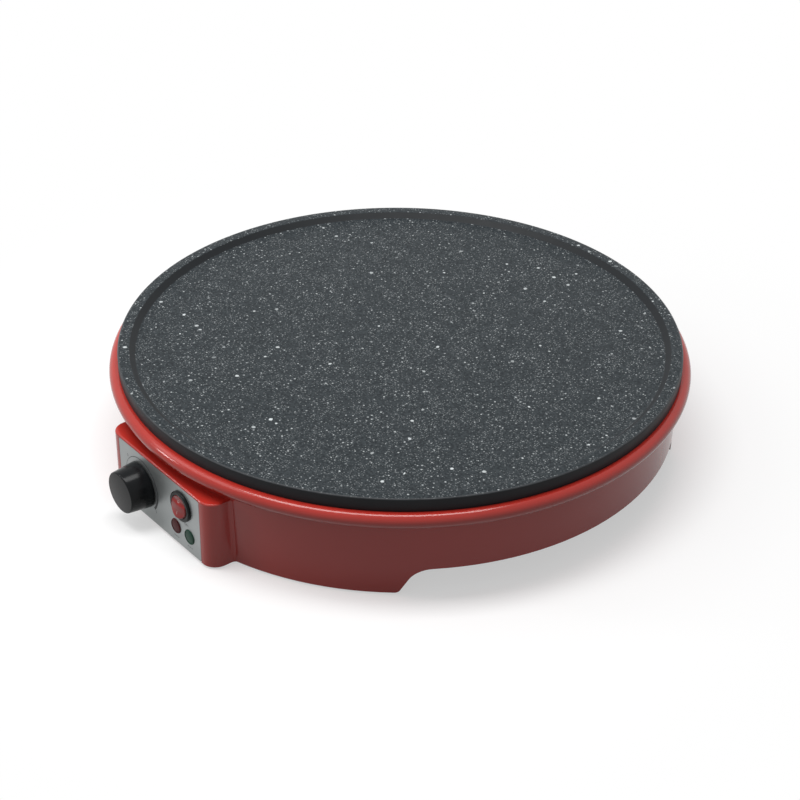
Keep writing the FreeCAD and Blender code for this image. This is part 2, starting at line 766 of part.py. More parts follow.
def thermostat_sensor():
    z = bulb_axis_z()
    bulb_end = V(CAPILLARY_X, BULB_Y, z)
    bulb = Part.makeCylinder(BULB_R, BULB_LENGTH, bulb_end, V(1, 0, 0))
    body_back = PANEL_Y + THERMOSTAT_DEPTH
    over_z = (REFLECTOR_Z + REFLECTOR_RIM_H + ELEMENT_Z - ELEMENT_R) / 2
    corner_x = CAPILLARY_X - 2 * CAPILLARY_BEND_R
    out_y = body_back + CAPILLARY_OUT + CAPILLARY_BEND_R
    route = [
        V(CAPILLARY_X, body_back, KNOB_Z),
        V(CAPILLARY_X, out_y, KNOB_Z),
        V(corner_x, out_y, over_z),
        V(corner_x, BULB_Y - 2 * CAPILLARY_BEND_R, over_z),
        V(corner_x, BULB_Y, z),
        V(CAPILLARY_X, BULB_Y, z),
    ]
    return tube(rounded_route(route, CAPILLARY_BEND_R), CAPILLARY_R).fuse(bulb)


def sensor_clip(x):
    # a strap over the bulb with a foot each side on the plate
    z = bulb_axis_z()
    ring = Part.makeCylinder(BULB_R + CLIP_T, CLIP_WIDTH, V(x, BULB_Y, z), V(1, 0, 0))
    feet_half = BULB_R + CLIP_FOOT
    feet = block(x, x + CLIP_WIDTH, BULB_Y - feet_half, BULB_Y + feet_half, UNDER_Z - CLIP_T, UNDER_Z)
    side = block(x, x + CLIP_WIDTH, BULB_Y - BULB_R - CLIP_T, BULB_Y + BULB_R + CLIP_T, z, UNDER_Z)
    strap = ring.fuse([feet, side])
    strap = strap.cut(Part.makeCylinder(BULB_R, CLIP_WIDTH, V(x, BULB_Y, z), V(1, 0, 0)))
    strap = strap.cut(block(x, x + CLIP_WIDTH, BULB_Y - BULB_R, BULB_Y + BULB_R, z, PLATE_TOP_Z))
    return strap.cut(block(x, x + CLIP_WIDTH, BULB_Y - feet_half, BULB_Y + feet_half, UNDER_Z, PLATE_TOP_Z))


def sensor_clips():
    first = CAPILLARY_X + CLIP_INSET
    last = CAPILLARY_X + BULB_LENGTH - CLIP_INSET - CLIP_WIDTH
    return Part.makeCompound([sensor_clip(first), sensor_clip(last)])


def switch_housing():
    front = FACE_Y - BEZEL_OUT
    bezel = barrel(BEZEL_R, SWITCH_X, SWITCH_Z, front, FACE_Y)
    edges = [e for e in bezel.Edges if abs(e.BoundBox.YMax - front) < 1e-6]
    bezel = bezel.makeFillet(BEZEL_ROUND, edges[:1])
    body = bezel.fuse(barrel(BARREL_R, SWITCH_X, SWITCH_Z, FACE_Y, FACE_Y + BARREL_DEPTH))
    body = body.cut(barrel(ROCKER_R + ROCKER_GAP, SWITCH_X, SWITCH_Z, front, front + ROCKER_WELL))
    hole_half = ROCKER_R + TRUNNION_LENGTH + ROCKER_GAP
    hole = Part.makeCylinder(
        TRUNNION_R + RUN_CLEARANCE, 2 * hole_half, V(SWITCH_X - hole_half, PIVOT_Y, SWITCH_Z), V(1, 0, 0)
    )
    return body.cut(hole)


def switch_rocker():
    # a ball-sided button with a dished face and a trunnion each side, stored tipped to off
    centre = V(SWITCH_X, PIVOT_Y, SWITCH_Z)
    front_y = FACE_Y - BEZEL_OUT - ROCKER_OUT
    button = Part.makeSphere(ROCKER_R, centre)
    keep = block(
        SWITCH_X - ROCKER_R, SWITCH_X + ROCKER_R, front_y, PIVOT_Y + ROCKER_DEPTH,
        SWITCH_Z - ROCKER_R, SWITCH_Z + ROCKER_R,
    )
    button = button.common(keep)
    dish_y = front_y + ROCKER_DISH_DEPTH - ROCKER_DISH_R
    dish_start = V(SWITCH_X - ROCKER_R, dish_y, SWITCH_Z)
    button = button.cut(Part.makeCylinder(ROCKER_DISH_R, 2 * ROCKER_R, dish_start, V(1, 0, 0)))
    half = ROCKER_R + TRUNNION_LENGTH
    pins = Part.makeCylinder(TRUNNION_R, 2 * half, centre - V(half, 0, 0), V(1, 0, 0))
    button = button.fuse(pins)
    button.rotate(centre, V(1, 0, 0), -ROCKER_TILT)
    return button


def switch_terminals():
    back = FACE_Y + BARREL_DEPTH
    blades = []
    for k in (-1, 0, 1):
        z = SWITCH_Z + k * BLADE_PITCH
        blades.append(block(
            SWITCH_X - BLADE_W / 2, SWITCH_X + BLADE_W / 2, back, back + BLADE_LENGTH,
            z - BLADE_T / 2, z + BLADE_T / 2,
        ))
    return Part.makeCompound(blades)


def light(x):
    front = FACE_Y - LIGHT_OUT
    head = barrel(LIGHT_HEAD_R, x, LIGHT_Z, front, FACE_Y)
    edges = [e for e in head.Edges if abs(e.BoundBox.YMax - front) < 1e-6]
    head = head.makeFillet(LIGHT_OUT * 0.7, edges[:1])
    return head.fuse(barrel(LIGHT_BARREL_R, x, LIGHT_Z, FACE_Y, PANEL_Y + LIGHT_DEPTH))


def light_clips():
    clips = []
    for x in LIGHT_XS:
        clip = barrel(LIGHT_CLIP_R, x, LIGHT_Z, PANEL_Y, PANEL_Y + LIGHT_CLIP_T)
        clips.append(clip.cut(barrel(LIGHT_BARREL_R, x, LIGHT_Z, PANEL_Y, PANEL_Y + LIGHT_CLIP_T)))
    return Part.makeCompound(clips)


def thermal_cutout():
    low = UNDER_Z - CUTOUT_H
    body = upright(CUTOUT_R, CUTOUT_H, V(CUTOUT_X, 0, low))
    for side in (1, -1):
        y = side * CUTOUT_R / 2
        tab = block(
            CUTOUT_X - BLADE_W / 2, CUTOUT_X + BLADE_W / 2, y - BLADE_T / 2, y + BLADE_T / 2,
            low - CUTOUT_TAB_H, low + CUTOUT_TAB_H,
        )
        body = body.fuse(tab)
    return body


def cord_gland():
    outside = gland_wall_y() + GLAND_PAD_OUT
    inside = gland_wall_y() - WALL_T - GLAND_PAD_OUT
    body = barrel(GLAND_FLANGE_R, 0, GLAND_Z, outside, outside + GLAND_FLANGE_T)
    body = body.fuse(gland_stem(0, inside - GLAND_COLLAR_T, outside))
    body = body.fuse(barrel(GLAND_COLLAR_R, 0, GLAND_Z, inside - GLAND_COLLAR_T, inside))
    bore = barrel(GLAND_BORE_R, 0, GLAND_Z, inside - BLOCK_WIDTH, outside + BLOCK_WIDTH)
    return body.cut(bore).removeSplitter()


def block_pitch():
    return BLOCK_LENGTH / BLOCK_WAYS


def way_xs():
    return [(k - (BLOCK_WAYS - 1) / 2) * block_pitch() for k in range(BLOCK_WAYS)]


def terminal_block():
    y0 = BLOCK_Y - BLOCK_WIDTH / 2
    y1 = BLOCK_Y + BLOCK_WIDTH / 2
    body = block(-BLOCK_LENGTH / 2, BLOCK_LENGTH / 2, y0, y1, COVER_TOP_Z, COVER_TOP_Z + BLOCK_H)
    for x in way_xs():
        body = body.cut(barrel(BLOCK_PORT_R, x, COVER_TOP_Z + BLOCK_H / 3, y0, y1))
        for y in (BLOCK_Y - BLOCK_WIDTH / 4, BLOCK_Y + BLOCK_WIDTH / 4):
            body = body.cut(upright(BLOCK_SCREW_R, BLOCK_H / 2, V(x, y, COVER_TOP_Z + BLOCK_H / 2)))
    return body


def terminal_screws():
    screws = []
    for x in way_xs():
        for y in (BLOCK_Y - BLOCK_WIDTH / 4, BLOCK_Y + BLOCK_WIDTH / 4):
            screws.append(upright(BLOCK_SCREW_R, BLOCK_H / 3, V(x, y, COVER_TOP_Z + BLOCK_H / 2)))
    return Part.makeCompound(screws)


PIECES = {
    "cooking_plate": cooking_plate,
    "heating_element": heating_element,
    "element_terminals": element_terminals,
    "heat_reflector": heat_reflector,
    "tie_stud": tie_stud,
    "tie_nuts": tie_nuts,
    "tie_washer": tie_washer,
    "base_housing": base_housing,
    "faceplate": faceplate,
    "bottom_cover": bottom_cover,
    "cover_screws": cover_screws,
    "rubber_feet": rubber_feet,
    "temperature_knob": temperature_knob,
    "thermostat_shaft": thermostat_shaft,
    "thermostat_body": thermostat_body,
    "thermostat_nut": thermostat_nut,
    "thermostat_sensor": thermostat_sensor,
    "sensor_clips": sensor_clips,
    "switch_housing": switch_housing,
    "switch_rocker": switch_rocker,
    "switch_terminals": switch_terminals,
    "red_light": lambda: light(LIGHT_XS[0]),
    "green_light": lambda: light(LIGHT_XS[1]),
    "light_clips": light_clips,
    "thermal_cutout": thermal_cutout,
    "cord_gland": cord_gland,
    "terminal_block": terminal_block,
    "terminal_screws": terminal_screws,
}


def main():
    os.makedirs("parts", exist_ok=True)
    for name, make in PIECES.items():
        shape = make()
        shape.exportStep(f"parts/{name}.step")
        print(name, shape.isValid(), len(shape.Solids), round(shape.Volume), shape.BoundBox)


main()
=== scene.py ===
"""Looks of a round electric crepe maker: coated plate, moulded base, control panel and studio."""
import logging
import math
from collections.abc import Iterable, Sequence
from dataclasses import asdict, dataclass
from enum import Enum

import bmesh
import bpy
from mathutils import Matrix, Vector


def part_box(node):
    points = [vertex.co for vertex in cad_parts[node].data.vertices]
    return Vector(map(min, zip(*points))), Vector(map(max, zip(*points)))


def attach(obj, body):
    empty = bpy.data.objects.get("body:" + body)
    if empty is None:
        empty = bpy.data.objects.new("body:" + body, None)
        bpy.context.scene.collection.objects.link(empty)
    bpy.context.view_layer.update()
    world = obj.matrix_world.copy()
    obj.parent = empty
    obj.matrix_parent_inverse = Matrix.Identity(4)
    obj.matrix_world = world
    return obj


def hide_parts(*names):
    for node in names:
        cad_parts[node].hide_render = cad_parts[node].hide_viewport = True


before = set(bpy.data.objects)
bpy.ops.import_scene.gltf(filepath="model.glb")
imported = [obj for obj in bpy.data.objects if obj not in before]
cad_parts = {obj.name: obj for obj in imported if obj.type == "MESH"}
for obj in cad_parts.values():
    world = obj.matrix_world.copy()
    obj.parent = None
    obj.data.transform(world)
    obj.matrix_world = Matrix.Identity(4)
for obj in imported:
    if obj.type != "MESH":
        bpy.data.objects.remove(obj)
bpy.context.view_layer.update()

MM = 0.001
SAME_POINT = 0.0001 * MM
LOOSE_POINT = 0.001 * MM
HALF_SIDE = 0.5
SHARP_TURN = math.radians(32)
FILLET_STEPS = 5
ORIGIN = Vector((0, 0, 0))
STAND_UP = Matrix.Rotation(math.radians(90), 4, "X")
LOG = logging.getLogger("crepe_maker")

Corner = tuple[float, float, float]
Colour = tuple[float, float, float]
BMesh = bmesh.types.BMesh
Piece = bpy.types.Object
Material = bpy.types.Material
NodeTree = bpy.types.NodeTree
Socket = bpy.types.NodeSocket
Outputs = bpy.types.NodeOutputs
Feeds = dict[str | int, object]


class Body(Enum):
    """The bodies that pieces ride on."""

    BASE = "base"
    KNOB = "knob"
    ROCKER = "rocker"


class Axis(Enum):
    """The ways a turned piece can point."""

    UP = (0.0, 0.0, 1.0)
    FRONT = (0.0, -1.0, 0.0)


def rounded_profile(corners: Sequence[Corner]) -> list[tuple[float, float]]:
    """Rounds the corners of a profile.

    Args:
        corners: Radius, height and rounding radius of each corner, in metres.

    Returns:
        Points of the profile as radius and height.
    """
    points: list[tuple[float, float]] = []
    ends = (0, len(corners) - 1)
    for index, (radius, height, fillet) in enumerate(corners):
        here = Vector((radius, height))
        if fillet <= 0 or index in ends:
            points.append((radius, height))
            continue
        before = (Vector(corners[index - 1][:2]) - here).normalized()
        after = (Vector(corners[index + 1][:2]) - here).normalized()
        half = before.angle(after) / 2
        centre = here + (before + after).normalized() * (fillet / math.sin(half))
        start = here + before * (fillet / math.tan(half)) - centre
        turn = start.angle_signed(here + after * (fillet / math.tan(half)) - centre)
        for step in range(FILLET_STEPS + 1):
            spun = Matrix.Rotation(-turn * step / FILLET_STEPS, 2) @ start
            points.append(tuple(centre + spun))
    return points


def smooth_by_angle(bm: BMesh) -> None:
    """Smooths all faces and marks the edges that turn more than SHARP_TURN as sharp."""
    for face in bm.faces:
        face.smooth = True
    for edge in bm.edges:
        if len(edge.link_faces) == 2:
            edge.smooth = edge.calc_face_angle(0.0) < SHARP_TURN


def finish_mesh(bm: BMesh, name: str, outward: bool = True) -> Piece:
    """Turns a built mesh into an object that stands at the origin.

    Args:
        bm: The mesh being built; it is freed.
        name: Name of the piece.
        outward: Whether to make the faces point outwards.

    Returns:
        The new object.
    """
    bmesh.ops.remove_doubles(bm, verts=bm.verts, dist=SAME_POINT)
    if outward:
        bmesh.ops.recalc_face_normals(bm, faces=bm.faces)
    smooth_by_angle(bm)
    mesh = bpy.data.meshes.new(name)
    bm.to_mesh(mesh)
    bm.free()
    piece = bpy.data.objects.new(name, mesh)
    bpy.context.scene.collection.objects.link(piece)
    return piece


def merged_copy(node: str) -> BMesh:
    """Copies a CAD node's mesh and merges its loose triangles."""
    bm = bmesh.new()
    bm.from_mesh(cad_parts[node].data)
    bmesh.ops.remove_doubles(bm, verts=bm.verts, dist=LOOSE_POINT)
    return bm


def turned(bm: BMesh, profile: Iterable[tuple[float, float]], centre: Vector,
           axis: Axis, steps: int) -> None:
    """Adds a turned form by spinning a profile.

    Args:
        bm: The mesh being built.
        profile: Radius and height along the axis of each point.
        centre: Where the axis starts.
        axis: Which way the height runs.
        steps: Segments round the axis.
    """
    up = Vector(axis.value)
    side = Vector((1.0, 0.0, 0.0))
    verts = [bm.verts.new(centre + side * radius + up * height) for radius, height in profile]
    edges = [bm.edges.new(pair) for pair in zip(verts, verts[1:])]
    bmesh.ops.spin(bm, geom=verts + edges, cent=centre, axis=up, dvec=(0, 0, 0), angle=math.tau,
                   steps=steps, use_merge=True, use_normal_flip=False, use_duplicate=False)
    bmesh.ops.remove_doubles(bm, verts=bm.verts, dist=SAME_POINT)


def face_front(bm: BMesh) -> None:
    """Makes the faces of a flat print look to the front."""
    bmesh.ops.recalc_face_normals(bm, faces=bm.faces)
    bmesh.ops.reverse_faces(bm, faces=[face for face in bm.faces if face.normal.y > 0])


def dress(piece: Piece, material: Material) -> None:
    """Gives a piece or CAD node one material."""
    piece.data.materials.clear()
    piece.data.materials.append(material)


def place(piece: Piece, material: Material, body: Body, slot: str,
          *nodes: str) -> None:
    """Dresses a new piece, lets it ride on a body and hides the CAD nodes that it stands for.

    Args:
        piece: The new piece.
        material: Its finish.
        body: The body that it rides on.
        slot: The record's material slot; not used.
        nodes: The CAD nodes that it replaces, if any.
    """
    dress(piece, material)
    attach(piece, body.value)
    if nodes:
        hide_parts(*nodes)
    LOG.info("%s: %d faces", piece.name, len(piece.data.polygons))


class NodeSheet:
    """A sheet of shader nodes, with short calls to add and join them."""

    def __init__(self, tree: NodeTree) -> None:
        """Takes a node tree to work on."""
        self.tree = tree

    def feed(self, target: Socket, value: object) -> None:
        """Links an input to a socket, or sets it to a plain value.

        Args:
            target: The input.
            value: The socket that feeds it, or its value.
        """
        if isinstance(value, Socket):
            self.tree.links.new(value, target)
        else:
            target.default_value = value

    def node(self, kind: str, inputs: Feeds | None = None, **settings: object) -> bpy.types.Node:
        """Adds a node with its settings, values and links.

        Args:
            kind: Blender's name of the node type, without its "ShaderNode".
            inputs: A socket or a value for each input that is not left alone.
            settings: Attributes of the node.

        Returns:
            The node.
        """
        node = self.tree.nodes.new(f"ShaderNode{kind}")
        for key, value in settings.items():
            setattr(node, key, value)
        for key, value in (inputs or {}).items():
            self.feed(node.inputs[key], value)
        return node

    def add(self, kind: str, inputs: Feeds | None = None, **settings: object) -> Outputs:
        """Adds a node and gives its outputs."""
        return self.node(kind, inputs, **settings).outputs

    def math(self, operation: str, first: Socket | float, second: Socket | float) -> Socket:
        """Does one sum, named as Blender names it, with sockets or numbers."""
        return self.add("Math", {0: first, 1: second}, operation=operation)["Value"]

    def spread(self, source: Socket, low: float, high: float) -> Socket:
        """Maps a value from 0..1 to the range from low to high."""
        return self.add("MapRange", {"Value": source, "To Min": low, "To Max": high})["Result"]

    def rise(self, source: Socket, low: float, high: float) -> Socket:
        """Maps a value from the range from low to high to 0..1."""
        return self.add("MapRange", {"Value": source, "From Min": low, "From Max": high})["Result"]

    def noise(self, place: Socket, size: Socket | float, detail: float) -> Socket:
        """Gives cloudy noise from 0 to 1 at a place."""
        return self.add("TexNoise", {"Vector": place, "Scale": size, "Detail": detail})["Fac"]

    def seen_directly(self) -> Socket:
        """Tells the rays that show a surround from the rays that only light the object.

        Returns:
            1 for the rays that show it and 0 for the rest.
        """
        rays = self.add("LightPath")
        seen = self.math("MAXIMUM", rays["Is Camera Ray"], rays["Is Glossy Ray"])
        return self.math("MAXIMUM", seen, rays["Is Transmission Ray"])


class MaterialSheet(NodeSheet):
    """A material's node sheet, with its shader and object coordinates."""

    def __init__(self, name: str) -> None:
        """Starts a material with a Principled shader."""
        self.material = bpy.data.materials.new(name)
        self.material.use_nodes = True
        super().__init__(self.material.node_tree)
        self.shader = self.tree.nodes["Principled BSDF"]
        coords = self.add("TexCoord")
        self.place = coords["Object"]
        self.normal = coords["Normal"]

    def shade(self, inputs: Feeds) -> None:
        """Feeds inputs of the shader, each with a socket or a constant."""
        for key, value in inputs.items():
            self.feed(self.shader.inputs[key], value)

    def group(self, tree: NodeTree, **values: float) -> Outputs:
        """Adds a node group fed by object coordinates.

        Args:
            tree: The group.
            values: Values of its inputs, with underscores in their names.

        Returns:
            The group's outputs.
        """
        inputs = {key.replace("_", " ").capitalize(): value for key, value in values.items()}
        node = self.node("Group", node_tree=tree)
        for key, value in {"Place": self.place, **inputs}.items():
            self.feed(node.inputs[key], value)
        return node.outputs

    def bump(self, height: Socket, distance: float, strength: float = 1.0) -> Socket:
        """Bends the normal by a height.

        Args:
            height: The height socket, from 0 to 1.
            distance: Depth of a full step, in metres.
            strength: Share of the bend that shows.

        Returns:
            The bent normal's socket.
        """
        inputs = {"Height": height, "Distance": distance, "Strength": strength}
        return self.add("Bump", inputs)["Normal"]

    def ramp(self, source: Socket, low: tuple[float, Colour], high: tuple[float, Colour]) -> Socket:
        """Colours a value by a ramp of two stops.

        Args:
            source: The value.
            low: Place and colour of the first stop.
            high: Place and colour of the last stop.

        Returns:
            The colour socket.
        """
        node = self.node("ValToRGB", {"Fac": source})
        for element, (where, colour) in zip(node.color_ramp.elements, (low, high)):
            element.position = where
            element.color = (*colour, 1.0)
        return node.outputs["Color"]

    def blend(self, amount: Socket, low: Socket, high: Colour) -> Socket:
        """Mixes a plain colour into another colour.

        Args:
            amount: 0 for the first colour and 1 for the plain one.
            low: The first colour's socket.
            high: The plain colour.

        Returns:
            The mixed colour's socket.
        """
        node = self.node("Mix", {0: amount}, data_type="RGBA")
        first, second = (socket for socket in node.inputs if socket.type == "RGBA")
        self.feed(first, low)
        self.feed(second, (*high, 1.0))
        return next(socket for socket in node.outputs if socket.type == "RGBA")

    def scaled_place(self, scale: Corner) -> Socket:
        """Gives the object coordinates, stretched or flattened."""
        return self.add("Mapping", {"Vector": self.place, "Scale": scale})["Vector"]

    def facing_up(self, low: float, high: float) -> Socket:
        """Rises from 0 to 1 as the Z part of the normal goes from low to high."""
        return self.rise(self.add("SeparateXYZ", {"Vector": self.normal})["Z"], low, high)


class GroupSheet(NodeSheet):
    """The sheet of a node group with a place input, number inputs and number outputs."""

    def __init__(self, name: str, inputs: Sequence[str], outputs: Sequence[str]) -> None:
        """Starts the group.

        Args:
            name: Name of the group.
            inputs: Names of its number inputs.
            outputs: Names of its outputs.
        """
        super().__init__(bpy.data.node_groups.new(name, "ShaderNodeTree"))
        sockets = self.tree.interface
        sockets.new_socket("Place", in_out="INPUT", socket_type="NodeSocketVector")
        for labels, way in ((inputs, "INPUT"), (outputs, "OUTPUT")):
            for label in labels:
                sockets.new_socket(label, in_out=way, socket_type="NodeSocketFloat")
        self.given = self.tree.nodes.new("NodeGroupInput").outputs
        self.results = self.tree.nodes.new("NodeGroupOutput").inputs
        self.place = self.given["Place"]


def moulding_grain() -> NodeTree:
    """Fine texture of moulded plastic, with slow blotches that vary its gloss.

    Returns:
        A group that puts out a height and a gloss mask.
    """
    sheet = GroupSheet("moulding_grain", ("Grain size", "Blotch size"), ("Height", "Gloss"))
    for size, detail, result in (("Grain size", 3.0, "Height"), ("Blotch size", 4.0, "Gloss")):
        sheet.feed(sheet.results[result], sheet.noise(sheet.place, sheet.given[size], detail))
    return sheet.tree


def speckle_layer() -> NodeTree:
    """Scattered flecks of uneven size and strength, as in a stone-effect coating.

    Returns:
        A group that puts out how strongly a fleck shows.
    """
    sizes = ("Density", "Reach", "Share", "Softness", "Bend", "Bend size", "Crowd size")
    sheet = GroupSheet("speckle_layer", sizes, ("Fleck",))
    place, given = sheet.place, sheet.given
    warp = sheet.add("TexNoise", {"Vector": place, "Scale": given["Bend size"]})["Color"]
    bend = sheet.add("VectorMath", {0: warp, "Scale": given["Bend"]}, operation="SCALE")["Vector"]
    bent_place = sheet.add("VectorMath", {0: place, 1: bend}, operation="ADD")["Vector"]
    cells = sheet.add("TexVoronoi", {"Vector": bent_place, "Scale": given["Density"]},
                      voronoi_dimensions="2D")
    luck = sheet.add("SeparateColor", {"Color": cells["Color"]})
    radius = sheet.math("MULTIPLY", sheet.spread(luck["Red"], 0.4, 1.0), given["Reach"])
    outer = sheet.math("ADD", radius, given["Softness"])
    fall = {"Value": cells["Distance"], "From Min": radius, "From Max": outer,
            "To Min": 1.0, "To Max": 0.0}
    edge = sheet.add("MapRange", fall, interpolation_type="SMOOTHSTEP")["Result"]
    crowd = sheet.rise(sheet.noise(place, given["Crowd size"], 3.0), 0.38, 0.62)
    share_here = sheet.math("MULTIPLY", sheet.spread(crowd, 0.35, 1.65), given["Share"])
    chosen = sheet.math("LESS_THAN", luck["Green"], share_here)
    picked = sheet.math("MULTIPLY", edge, chosen)
    level = sheet.spread(luck["Blue"], 0.25, 1.0)
    sheet.feed(sheet.results["Fleck"], sheet.math("MULTIPLY", picked, level))
    return sheet.tree


class Groups:
    """The shader node groups, each built once."""

    def __init__(self) -> None:
        """Builds every group."""
        self.grain = moulding_grain()
        self.speckle = speckle_layer()


@dataclass(frozen=True)
class Moulded:
    """A moulded plastic or rubber finish, darker in its duller blotches."""

    name: str
    colour: Colour
    shade: Colour
    roughness: tuple[float, float]
    grain_size: float = 900.0
    grain_depth: float = 0.00002
    specular: float = 0.5
    blotch_size: float = 18.0
    blotch_limits: tuple[float, float] = (0.3, 0.7)
    refraction: float = 1.5

    def make(self, groups: Groups) -> Material:
        """Builds the finish.

        Args:
            groups: The shared node groups.

        Returns:
            The material.
        """
        sheet = MaterialSheet(self.name)
        grain = sheet.group(groups.grain, grain_size=self.grain_size, blotch_size=self.blotch_size)
        low, high = self.blotch_limits
        sheet.shade({
            "Base Color": sheet.ramp(grain["Gloss"], (low, self.shade), (high, self.colour)),
            "Roughness": sheet.spread(grain["Gloss"], *self.roughness),
            "Normal": sheet.bump(grain["Height"], self.grain_depth),
            "IOR": self.refraction,
            "Specular IOR Level": self.specular,
        })
        return sheet.material


@dataclass(frozen=True)
class Lens(Moulded):
    """A coloured plastic finish for lights and the rocker, with a closer pattern."""

    grain_size: float = 400.0
    grain_depth: float = 0.00001
    blotch_size: float = 160.0
    blotch_limits: tuple[float, float] = (0.35, 0.65)
    refraction: float = 1.49


@dataclass(frozen=True)
class Metal:
    """A sheet, plated or turned metal finish, with fine lines along X."""

    name: str
    colour: Colour
    roughness: tuple[float, float]
    line_stretch: float = 0.02
    metallic: float = 1.0
    line_size: float = 2500.0
    line_depth: float = 0.000004
    darkest: float = 0.88

    def make(self, groups: Groups) -> Material:
        """Builds the finish.

        Args:
            groups: The shared node groups.

        Returns:
            The material.
        """
        sheet = MaterialSheet(self.name)
        lines = sheet.noise(sheet.scaled_place((self.line_stretch, 1.0, 1.0)), self.line_size, 2.0)
        grain = sheet.group(groups.grain, blotch_size=30.0)
        dark = tuple(part * self.darkest for part in self.colour)
        sheet.shade({
            "Base Color": sheet.ramp(grain["Gloss"], (0.35, dark), (0.65, self.colour)),
            "Roughness": sheet.spread(lines, *self.roughness),
            "Normal": sheet.bump(lines, self.line_depth),
            "Metallic": self.metallic,
        })
        return sheet.material


@dataclass(frozen=True)
class FleckLayer:
    """One size of fleck in the coating; a fleck's sizes are shares of the space between them."""

    density: float
    reach: float
    share: float
    softness: float
    bend: float
    bend_size: float
    strength: float
    crowd_size: float

    def scatter(self, sheet: MaterialSheet, groups: Groups) -> Socket:
        """Places the flecks.

        Args:
            sheet: The material's sheet.
            groups: The shared node groups.

        Returns:
            How strongly the flecks show.
        """
        sizes = {key: value for key, value in asdict(self).items() if key != "strength"}
        return sheet.math("MULTIPLY", sheet.group(groups.speckle, **sizes)["Fleck"], self.strength)


@dataclass(frozen=True)
class StoneCoating:
    """The plate's non-stick coating: dark slate with pale flecks of three sizes."""

    name: str = "stone_coating"
    slate: Colour = (0.034, 0.042, 0.047)
    slate_dark: Colour = (0.007, 0.011, 0.014)
    # Darker slate for surfaces that don't face up: painted shade.
    slope_dark: Colour = (0.013, 0.015, 0.017)
    level_normal: tuple[float, float] = (0.80, 0.97)
    fleck: Colour = (0.62, 0.66, 0.67)
    roughness: tuple[float, float] = (0.40, 0.52)
    grain_depth: float = 0.00006
    grain_strength: float = 0.5
    specular: float = 0.15
    layers: tuple[FleckLayer, ...] = (
        FleckLayer(640.0, 0.27, 0.44, 0.10, 0.0006, 700.0, 0.34, 120.0),
        FleckLayer(300.0, 0.17, 0.20, 0.06, 0.0008, 500.0, 0.80, 70.0),
        FleckLayer(70.0, 0.075, 0.16, 0.03, 0.0018, 320.0, 1.10, 20.0),
    )
    # Pale colour of the rounded rim edge: a painted highlight.
    worn: Colour = (0.07, 0.075, 0.08)
    worn_gloss: float = 0.26
    worn_radius: tuple[float, float] = (191.2 * MM, 191.7 * MM)
    worn_normal: tuple[float, float] = (0.25, 0.60)
    worn_patches: float = 140.0
    worn_least: float = 0.15

    def make(self, groups: Groups) -> Material:
        """Builds the coating.

        Args:
            groups: The shared node groups.

        Returns:
            The material.
        """
        sheet = MaterialSheet(self.name)
        grain = sheet.group(groups.grain, grain_size=650.0, blotch_size=60.0)
        slate = sheet.ramp(grain["Height"], (0.34, self.slate_dark), (0.66, self.slate))
        level = sheet.facing_up(*self.level_normal)
        # Surfaces that don't face up, the slope, the side and the underside, take a darker slate:
        # painted shade.
        slate = sheet.blend(sheet.math("SUBTRACT", 1.0, level), slate, self.slope_dark)
        flecks, *others = (layer.scatter(sheet, groups) for layer in self.layers)
        for other in others:
            flecks = sheet.math("MAXIMUM", flecks, other)
        flecked = sheet.blend(sheet.math("MULTIPLY", flecks, level), slate, self.fleck)
        wear_and_highlight = self.rim_wear(sheet)
        polish = sheet.math("MULTIPLY", wear_and_highlight, self.worn_gloss)
        rough = sheet.spread(grain["Gloss"], *self.roughness)
        sheet.shade({
            # The pale rim edge in the base colour is a painted highlight; the lower roughness there
            # is gloss.
            "Base Color": sheet.blend(wear_and_highlight, flecked, self.worn),
            "Roughness": sheet.math("SUBTRACT", rough, polish),
            "Normal": sheet.bump(grain["Height"], self.grain_depth, self.grain_strength),
            "Specular IOR Level": self.specular,
        })
        return sheet.material

    def rim_wear(self, sheet: MaterialSheet) -> Socket:
        """Finds the rounded top edge of the plate, made glossier there as by wear and paler in
        patches as a painted highlight.

        Args:
            sheet: The material's sheet.

        Returns:
            Up to 1 on the glossy, pale edge and 0 elsewhere.
        """
        flat = sheet.scaled_place((1.0, 1.0, 0.0))
        radius = sheet.add("VectorMath", {0: flat}, operation="LENGTH")["Value"]
        edge = sheet.rise(radius, *self.worn_radius)
        patches = sheet.noise(sheet.place, self.worn_patches, 3.0)
        on_edge = sheet.math("MULTIPLY", edge, sheet.facing_up(*self.worn_normal))
        return sheet.math("MULTIPLY", on_edge, sheet.spread(patches, self.worn_least, 1.0))


